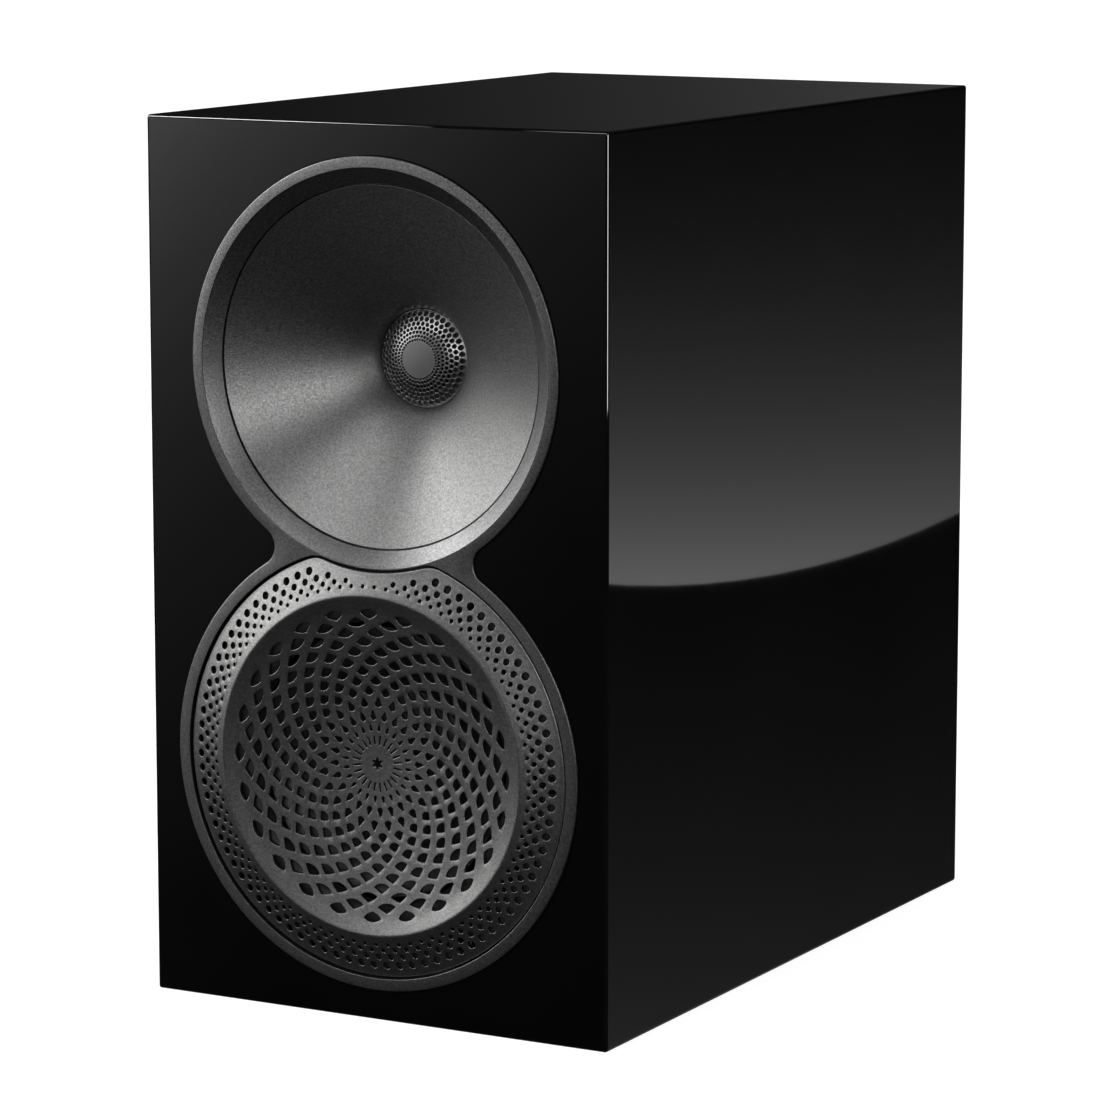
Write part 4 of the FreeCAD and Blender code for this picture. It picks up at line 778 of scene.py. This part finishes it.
# %% Cone and dust cap
cone_profile = soften([(54.6, -6.0), (54.6, -6.8), (52.6, -6.8), (44, -11.2, 60), (20.05, -32.0),
                       (20.05, -36.0), (19.35, -36.0),
                       (19.35, -31.3), (43.6, -10.4, 60), (52.0, -6.0)], 0.3, 5, closed=True)
woofer_cone = add_piece("cone_skin", spin(cone_profile, 192), stand_at(WOOFER_Z), "woofer_diaphragm",
                        "cone_grey", ["woofer_cone"])


def cap_profile(width, top, sag, skin, count=16):
    """A thin spherical cap as a closed profile from the axis out and back."""
    ball = (width ** 2 + sag ** 2) / (2 * sag)
    lean = math.asin(width / ball)
    turns = [lean * i / count for i in range(count + 1)]
    front = [(ball * math.sin(t), top - ball * (1 - math.cos(t))) for t in turns]
    return front + [((ball - skin) * math.sin(t), top - skin - (ball - skin) * (1 - math.cos(t)))
                    for t in reversed(turns)]


dust_cap = add_piece("dust_cap_skin", spin(cap_profile(24.3, -20.8, 6.0, 0.7), 160, closed=False),
                     stand_at(WOOFER_Z),
                     "woofer_diaphragm", "cone_grey", ["woofer_dust_cap"])
# The dome's near-black finish is painted shade, for the shadow under the lens.
tweeter_dome = add_piece("tweeter_dome_skin", spin(cap_profile(12.7, -36.6, 4.6, 0.3), 120, closed=False),
                         stand_at(TWEETER_Z),
                         "tweeter_diaphragm", "tweeter_dome_metal", ["tweeter_dome"])
print("moving pieces:", woofer_cone.name, dust_cap.name, tweeter_dome.name)


# %% [markdown]
# ## Rolls cut into sectors
# The rubber half roll and the cloth spider join the moving cone to the fixed basket, so both bend when it
# travels. Scaling them would move their clamped edge and a shape key would need a driver. Each ring is cut
# into sectors, and every sector is left without a parent, so none follows the cone and none bends.

# %% Rolls cut into sectors
def sector(profile, start, end, count=6):
    """A closed profile swept over part of a turn, with flat ends."""
    verts, faces, loops = [], [], []
    for i in range(count + 1):
        turn = start + (end - start) * i / count
        loops.append(list(range(len(verts), len(verts) + len(profile))))
        verts += [(r * math.cos(turn), r * math.sin(turn), z) for r, z in profile]
    join_loops(verts, faces, loops)
    return verts, faces + [loops[0][::-1], loops[-1]]


def bending_ring(name, profile, sectors, height, finish, replaced):
    """Sectors of a ring, each a separate piece baked in place with no parent."""
    for k in range(sectors):
        start, end = 2 * math.pi * k / sectors, 2 * math.pi * (k + 1) / sectors
        place = stand_at(height)
        piece = add_piece(f"{name}_{k:02d}", sector(profile, start, end), place, "cabinet", finish,
                          [replaced])
        piece.parent = None
        piece.matrix_world = place
        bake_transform(piece)
    return sectors


roll_turns = [math.pi * i / 14 for i in range(15)]
roll_top = [(60.2 - 5.6 * math.cos(t), -6.0 + 5.2 * math.sin(t)) for t in roll_turns]
roll_low = [(60.2 - 4.8 * math.cos(t), -6.8 + 5.2 * math.sin(t)) for t in reversed(roll_turns)]
roll_profile = [(52.4, -6.0)] + roll_top + [(69.5, -6.0), (69.5, -6.8)] + roll_low + [(52.4, -6.8)]
bending_ring("surround", roll_profile, 16, WOOFER_Z, "surround_rubber",
             "woofer_surround")
print("surround made of 16 sectors")

# %% Spider
WAVES, WAVE_HEIGHT, RIPPLE_STEPS = 6, 0.9, 60
ripple = []
for i in range(RIPPLE_STEPS + 1):
    turn = 2 * math.pi * WAVES * i / RIPPLE_STEPS
    ripple.append((19.4 + 22.0 * i / RIPPLE_STEPS, -44.5 + WAVE_HEIGHT * math.sin(turn)))
spider_profile = ripple + [(46.4, -44.4), (46.4, -44.95)] + [(r, z - 0.5) for r, z in reversed(ripple)]
bending_ring("spider", spider_profile, 12, WOOFER_Z, "spider_cloth",
             "woofer_spider")
print("spider made of 12 sectors")

# %% [markdown]
# ## The rear
# The port is a plastic tube that tunes the box, and it flares at both ends to keep the air quiet. The terminal
# cup is a moulded recess with a drafted wall, and the binding posts have fluted caps that fingers can grip. A
# tube is round, so the port is spun. The cup isn't, so it is a stack of rounded rectangles. The caps are spun
# loops whose radius dips at every flute, which keeps the flutes in the mesh and not in a texture.

# %% Port
PORT_R, PORT_FRONT, PORT_END, MOUTH_FLARE, TAIL_FLARE = 25.0, 1.9, -118.1, 11, 8


def quarter(steps):
    return [math.pi / 2 * i / steps for i in range(steps + 1)]


mouth = [(PORT_R + MOUTH_FLARE * (1 - math.cos(t)), PORT_FRONT - MOUTH_FLARE + MOUTH_FLARE * math.sin(t))
         for t in quarter(12)]
tail = [(PORT_R + TAIL_FLARE * (1 - math.cos(t)), PORT_END + TAIL_FLARE - TAIL_FLARE * math.sin(t))
        for t in reversed(quarter(8))]
port_profile = tail + mouth + [(39.4, 1.9), (39.85, 1.7), (40, 1.3), (40, 0.4), (39.6, 0.02), (37.5, 0.02),
                               (37.5, -10),
                              (27.5, -10), (27.5, -109), (33, -116)]
port = add_piece("port_skin", spin(port_profile, 192), stand_at(PORT_Z, REAR, out_of_rear), "cabinet",
                 "black_plastic",
                 ["port_tube"])
print("port:", len(port.data.polygons), "faces")


# %% Terminal cup
def rounded_rectangle(width, height, corner, z, steps=8):
    """A loop at height z, drawn corner by corner."""
    points = []
    for cx, cy, start in ((1, 1, 0), (-1, 1, 90), (-1, -1, 180), (1, -1, 270)):
        for s in range(steps + 1):
            turn = math.radians(start + 90 * s / steps)
            points.append((cx * (width / 2 - corner) + corner * math.cos(turn),
                           cy * (height / 2 - corner) + corner * math.sin(turn), z))
    return points


def lofted(rings):
    """Loops of equal length joined in a stack and capped at both ends."""
    verts, faces, loops = [], [], []
    for ring in rings:
        loops.append(list(range(len(verts), len(verts) + len(ring))))
        verts += ring
    join_loops(verts, faces, loops)
    return verts, faces + [loops[0][::-1], loops[-1]]


cup_sections = [
    (75.8, 47.8, 4, -20.6), (75.8, 47.8, 4, 0.02), (98, 70, 6, 0.02), (98, 70, 6, 1.3),
    (97.6, 69.6, 5.8, 1.75),
    (96.9, 68.9, 5.5, 1.9), (73.4, 45.4, 4.2, 1.9), (72.2, 44.2, 3.8, 1.5), (71.7, 43.7, 3.6, 0.7),
    (70.6, 42.6, 3.2, -16.6), (69.8, 41.8, 2.9, -17.7), (68.4, 40.4, 2.5, -18.1)]
cup_rings = [rounded_rectangle(*section) for section in cup_sections]
cup = add_piece("terminal_cup_skin", lofted(cup_rings), stand_at(CUP_Z, REAR, out_of_rear), "cabinet",
                "black_plastic",
                ["terminal_cup"])
print("terminal cup:", len(cup.data.polygons), "faces")


# %% Fluted caps
def fluted_cap(low, high, radius=7.0, hollow=3.3, bore=4.42, flutes=18, per_flute=8, flute_depth=0.42):
    """Each level is a height, a radius and the share of the flutes' depth that is cut there."""
    count = flutes * per_flute
    levels = [
        (low, radius - 0.5, 0), (low + 0.3, radius - 0.1, 0.3), (low + 0.9, radius, 1),
        (high - 1.8, radius, 1),
        (high - 0.7, radius - 0.1, 0.4), (high - 0.2, radius - 0.5, 0), (high, radius - 1.0, 0),
        (high, hollow + 0.5, 0), (high - 0.4, hollow, 0), (high - 1.0, hollow, 0), (high - 1.0, bore, 0),
        (low, bore, 0)]
    verts, faces, loops = [], [], []
    for z, r, share in levels:
        loops.append(list(range(len(verts), len(verts) + count)))
        for i in range(count):
            turn = 2 * math.pi * i / count
            cut = flute_depth * share * (0.5 + 0.5 * math.cos(flutes * turn)) ** 2
            verts.append(((r - cut) * math.cos(turn), (r - cut) * math.sin(turn), z))
    join_loops(verts, faces, loops, closed_stack=True)
    return verts, faces


for colour in ("red", "black"):
    low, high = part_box(colour + "_post_knob")
    place = stand_at(CUP_Z, REAR, out_of_rear, (low.x + high.x) / 2)
    finish = "red_plastic" if colour == "red" else "black_plastic"
    cap = add_piece(colour + "_knob_skin", fluted_cap((low.y - REAR) / MM, (high.y - REAR) / MM), place,
                    colour + "_knob", finish,
                    [colour + "_post_knob"])
print("binding post caps:", len(cap.data.polygons), "faces each")

# %% [markdown]
# ## Floor, light and camera
# The object stands on a light table in a white room. Gloss black shows only what it reflects, so the shapes
# on it are the studio's: a round soft box behind to the right for the side, a graded card to the left for the
# front, and a dim one behind for the top. An environment map would do it too, but cards can be placed one
# reflection at a time. The floor glows a little, so that it stays white in the object's own shadow.

# %% Floor
def add_sheet(name, corners):
    """One face that belongs to the stage and not to the object."""
    mesh = bpy.data.meshes.new(name)
    mesh.from_pydata(corners, [], [list(range(len(corners)))])
    made = bpy.data.objects.new(name, mesh)
    bpy.context.scene.collection.objects.link(made)
    made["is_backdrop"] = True
    return made


FLOOR_REACH = 14
floor = add_sheet("floor", [(x * FLOOR_REACH, y * FLOOR_REACH, 0) for x,
                            y in ((-1, -1), (1, -1), (1, 1), (-1, 1))])
floor_paint = bpy.data.materials.new("floor_paint")
floor_paint.use_nodes = True
floor_surface = floor_paint.node_tree.nodes["Principled BSDF"]
floor_surface.inputs["Base Color"].default_value = (0.3, 0.3, 0.3, 1)
floor_surface.inputs["Emission Color"].default_value = (1, 1, 1, 1)
floor_surface.inputs["Emission Strength"].default_value = 0.8
floor_surface.inputs["Roughness"].default_value = 0.9
floor.data.materials.append(floor_paint)
floor.visible_glossy = False
print("floor reaches", FLOOR_REACH, "m each way")


# %% Graded cards
def graded_card(name, points, origin, direction, brightest, fall, most=1.2):
    """A glowing sheet that fades along a direction; it lights reflections only."""
    card = add_sheet(name, points)
    made = bpy.data.materials.new(name + "_glow")
    made.use_nodes = True
    tree = made.node_tree
    tree.nodes.clear()
    place = node(tree, "ShaderNodeTexCoord")
    shift = node(tree, "ShaderNodeVectorMath", operation="SUBTRACT")
    shift.inputs[1].default_value = origin
    along = node(tree, "ShaderNodeVectorMath", operation="DOT_PRODUCT")
    along.inputs[1].default_value = direction
    glow = node(tree, "ShaderNodeEmission")
    output = node(tree, "ShaderNodeOutputMaterial")
    wire_up(tree, place.outputs["Object"], shift.inputs[0])
    wire_up(tree, shift.outputs["Vector"], along.inputs[0])
    fade = maths(tree, "EXPONENT", maths(tree, "MULTIPLY", along.outputs["Value"], -fall))
    level = maths(tree, "MINIMUM", maths(tree, "MULTIPLY", fade, brightest), most)
    wire_up(tree, level, glow.inputs["Strength"])
    wire_up(tree, glow.outputs["Emission"], output.inputs["Surface"])
    card.data.materials.append(made)
    card.visible_camera = card.visible_diffuse = card.visible_shadow = False
    return card


def upright(x_low, x_high, y, z_low, z_high):
    """The corners of a sheet that faces the object from a distance y."""
    return [(x_low, y, z_low), (x_high, y, z_low), (x_high, y, z_high), (x_low, y, z_high)]


def disc(centre, radius, count=128):
    return [(x, centre[1], z) for x, z in circle_points((centre[0], centre[2]), radius, count)]


graded_card("side_softbox", disc((1.27, 2.0, 0.522), 0.76), (1.27, 2.0, -0.238), (0, 0, 1), 0.66, 8.6)
graded_card("side_floor_glow", upright(0.5, 1.7, 2.1, -1.1, -0.1), (1.0, 2.1, -0.55), (0, 0, 1), 0.045, 5.0)
graded_card("front_card", upright(-1.8, -0.6, -2.0, -0.9, 0.5), (-1.34, -2.0, 0.19), (0.62, 0, -0.78), 0.74,
            6.6)
graded_card("top_card", upright(-1.9, -0.3, 2.0, 0.3, 0.9), (-0.75, 2.0, 0.47), (-1, 0, 0), 0.052, 2.5)

# %% [markdown]
# ## Lights
# The sprayed metal is rougher than the lacquer, so it shows lamps as broad wedges: a large key from the left
# models the horn's lower right, a fill from the front right its left side, and a lamp above its foot. One
# lamp can't also suit the cabinet's edges, which are a millimetre round and need far more light. Two strips
# do that, and they reach the lacquered panels alone.

# %% Lights
def area_light(name, at, target, size, power, height=None):
    """A lamp at a place in metres that looks at a target; power is in watts."""
    data = bpy.data.lights.new(name, "AREA")
    data.energy, data.size = power, size
    if height:
        data.shape, data.size_y = "RECTANGLE", height
    lamp = bpy.data.objects.new(name, data)
    bpy.context.scene.collection.objects.link(lamp)
    lamp.location = at
    lamp.rotation_euler = (Vector(target) - Vector(at)).to_track_quat("-Z", "Y").to_euler()
    return lamp


area_light("key_left", (-2.1, -1.15, 1.0), (0, -0.16, 0.2), 2.2, 34, 1.6)
area_light("left_high", (-1.6, -0.4, 1.5), (0, -0.16, 0.25), 0.6, 7)
area_light("fill_front", (0.95, -2.3, 0.7), (0, -0.16, 0.2), 0.6, 9)
area_light("top_front", (-0.3, -1.5, 1.3), (0, -0.16, 0.15), 1.0, 6, 0.4)
area_light("right_strip", (2.0, -1.1, 0.6), (0.1, -0.16, 0.2), 0.2, 2.5, 1.2)
edge_lamps = [area_light("edge_strip_top", (-1.15, -1.3, 1.58), (0, -0.16, 0.34), 0.25, 7),
              area_light("edge_strip_side", (2.0, -1.0, 0.12), (0.1, -0.16, 0.3), 0.4, 9, 0.3)]
lacquered = bpy.data.collections.new("lacquered")
for thing in bpy.data.objects:
    if thing.type == "MESH" and FINISHES["gloss_black_lacquer"] in list(thing.data.materials):
        lacquered.objects.link(thing)
for lamp in edge_lamps:
    lamp.light_linking.receiver_collection = lacquered

# %% White room
ROOM_SEEN, ROOM_REFLECTED = 1.15, 0.02
world = bpy.data.worlds.new("studio")
bpy.context.scene.world = world
world.use_nodes = True
sky = world.node_tree
sky.nodes.clear()
ray = node(sky, "ShaderNodeLightPath")
matt = node(sky, "ShaderNodeMath", operation="MAXIMUM")
wire_up(sky, ray.outputs["Is Camera Ray"], matt.inputs[0])
wire_up(sky, ray.outputs["Is Diffuse Ray"], matt.inputs[1])
white = (1, 1, 1, 1)
seen = node(sky, "ShaderNodeBackground", Color=white, Strength=ROOM_SEEN)
unseen = node(sky, "ShaderNodeBackground", Color=white, Strength=ROOM_REFLECTED)
pick, sky_out = node(sky, "ShaderNodeMixShader"), node(sky, "ShaderNodeOutputWorld")
wire_up(sky, matt.outputs[0], pick.inputs[0])
wire_up(sky, unseen.outputs[0], pick.inputs[1])
wire_up(sky, seen.outputs[0], pick.inputs[2])
wire_up(sky, pick.outputs[0], sky_out.inputs["Surface"])

# %% [markdown]
# ## Camera
# A long lens from the front right, a little above the box, shows the front, the side and the top at once.
# A shifted lens would keep the uprights parallel, but a plain one stays easy to turn round the object.

# %% Camera
CAMERA_AT, YAW, PITCH = (0.8846, -1.6252, 0.4595), math.radians(28.87), math.radians(9.2)
SENSOR, LENS = 36, 150.6
camera_data = bpy.data.cameras.new("camera")
camera_data.sensor_width, camera_data.lens = SENSOR, LENS
camera = bpy.data.objects.new("camera", camera_data)
bpy.context.scene.collection.objects.link(camera)
camera.location = CAMERA_AT
camera.rotation_euler = (math.radians(90) - PITCH, 0, YAW)
bpy.context.scene.camera = camera
bpy.context.scene.view_settings.view_transform = "Standard"
print("camera", round(camera_data.lens, 1), "mm lens")

# %% [markdown]
# ## Finish
# The last cell measures the box round the visible pieces, leaving out the floor and the cards.
# The visual model has to stay inside the CAD model's box.

# %% Sizes and the last line
low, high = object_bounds()
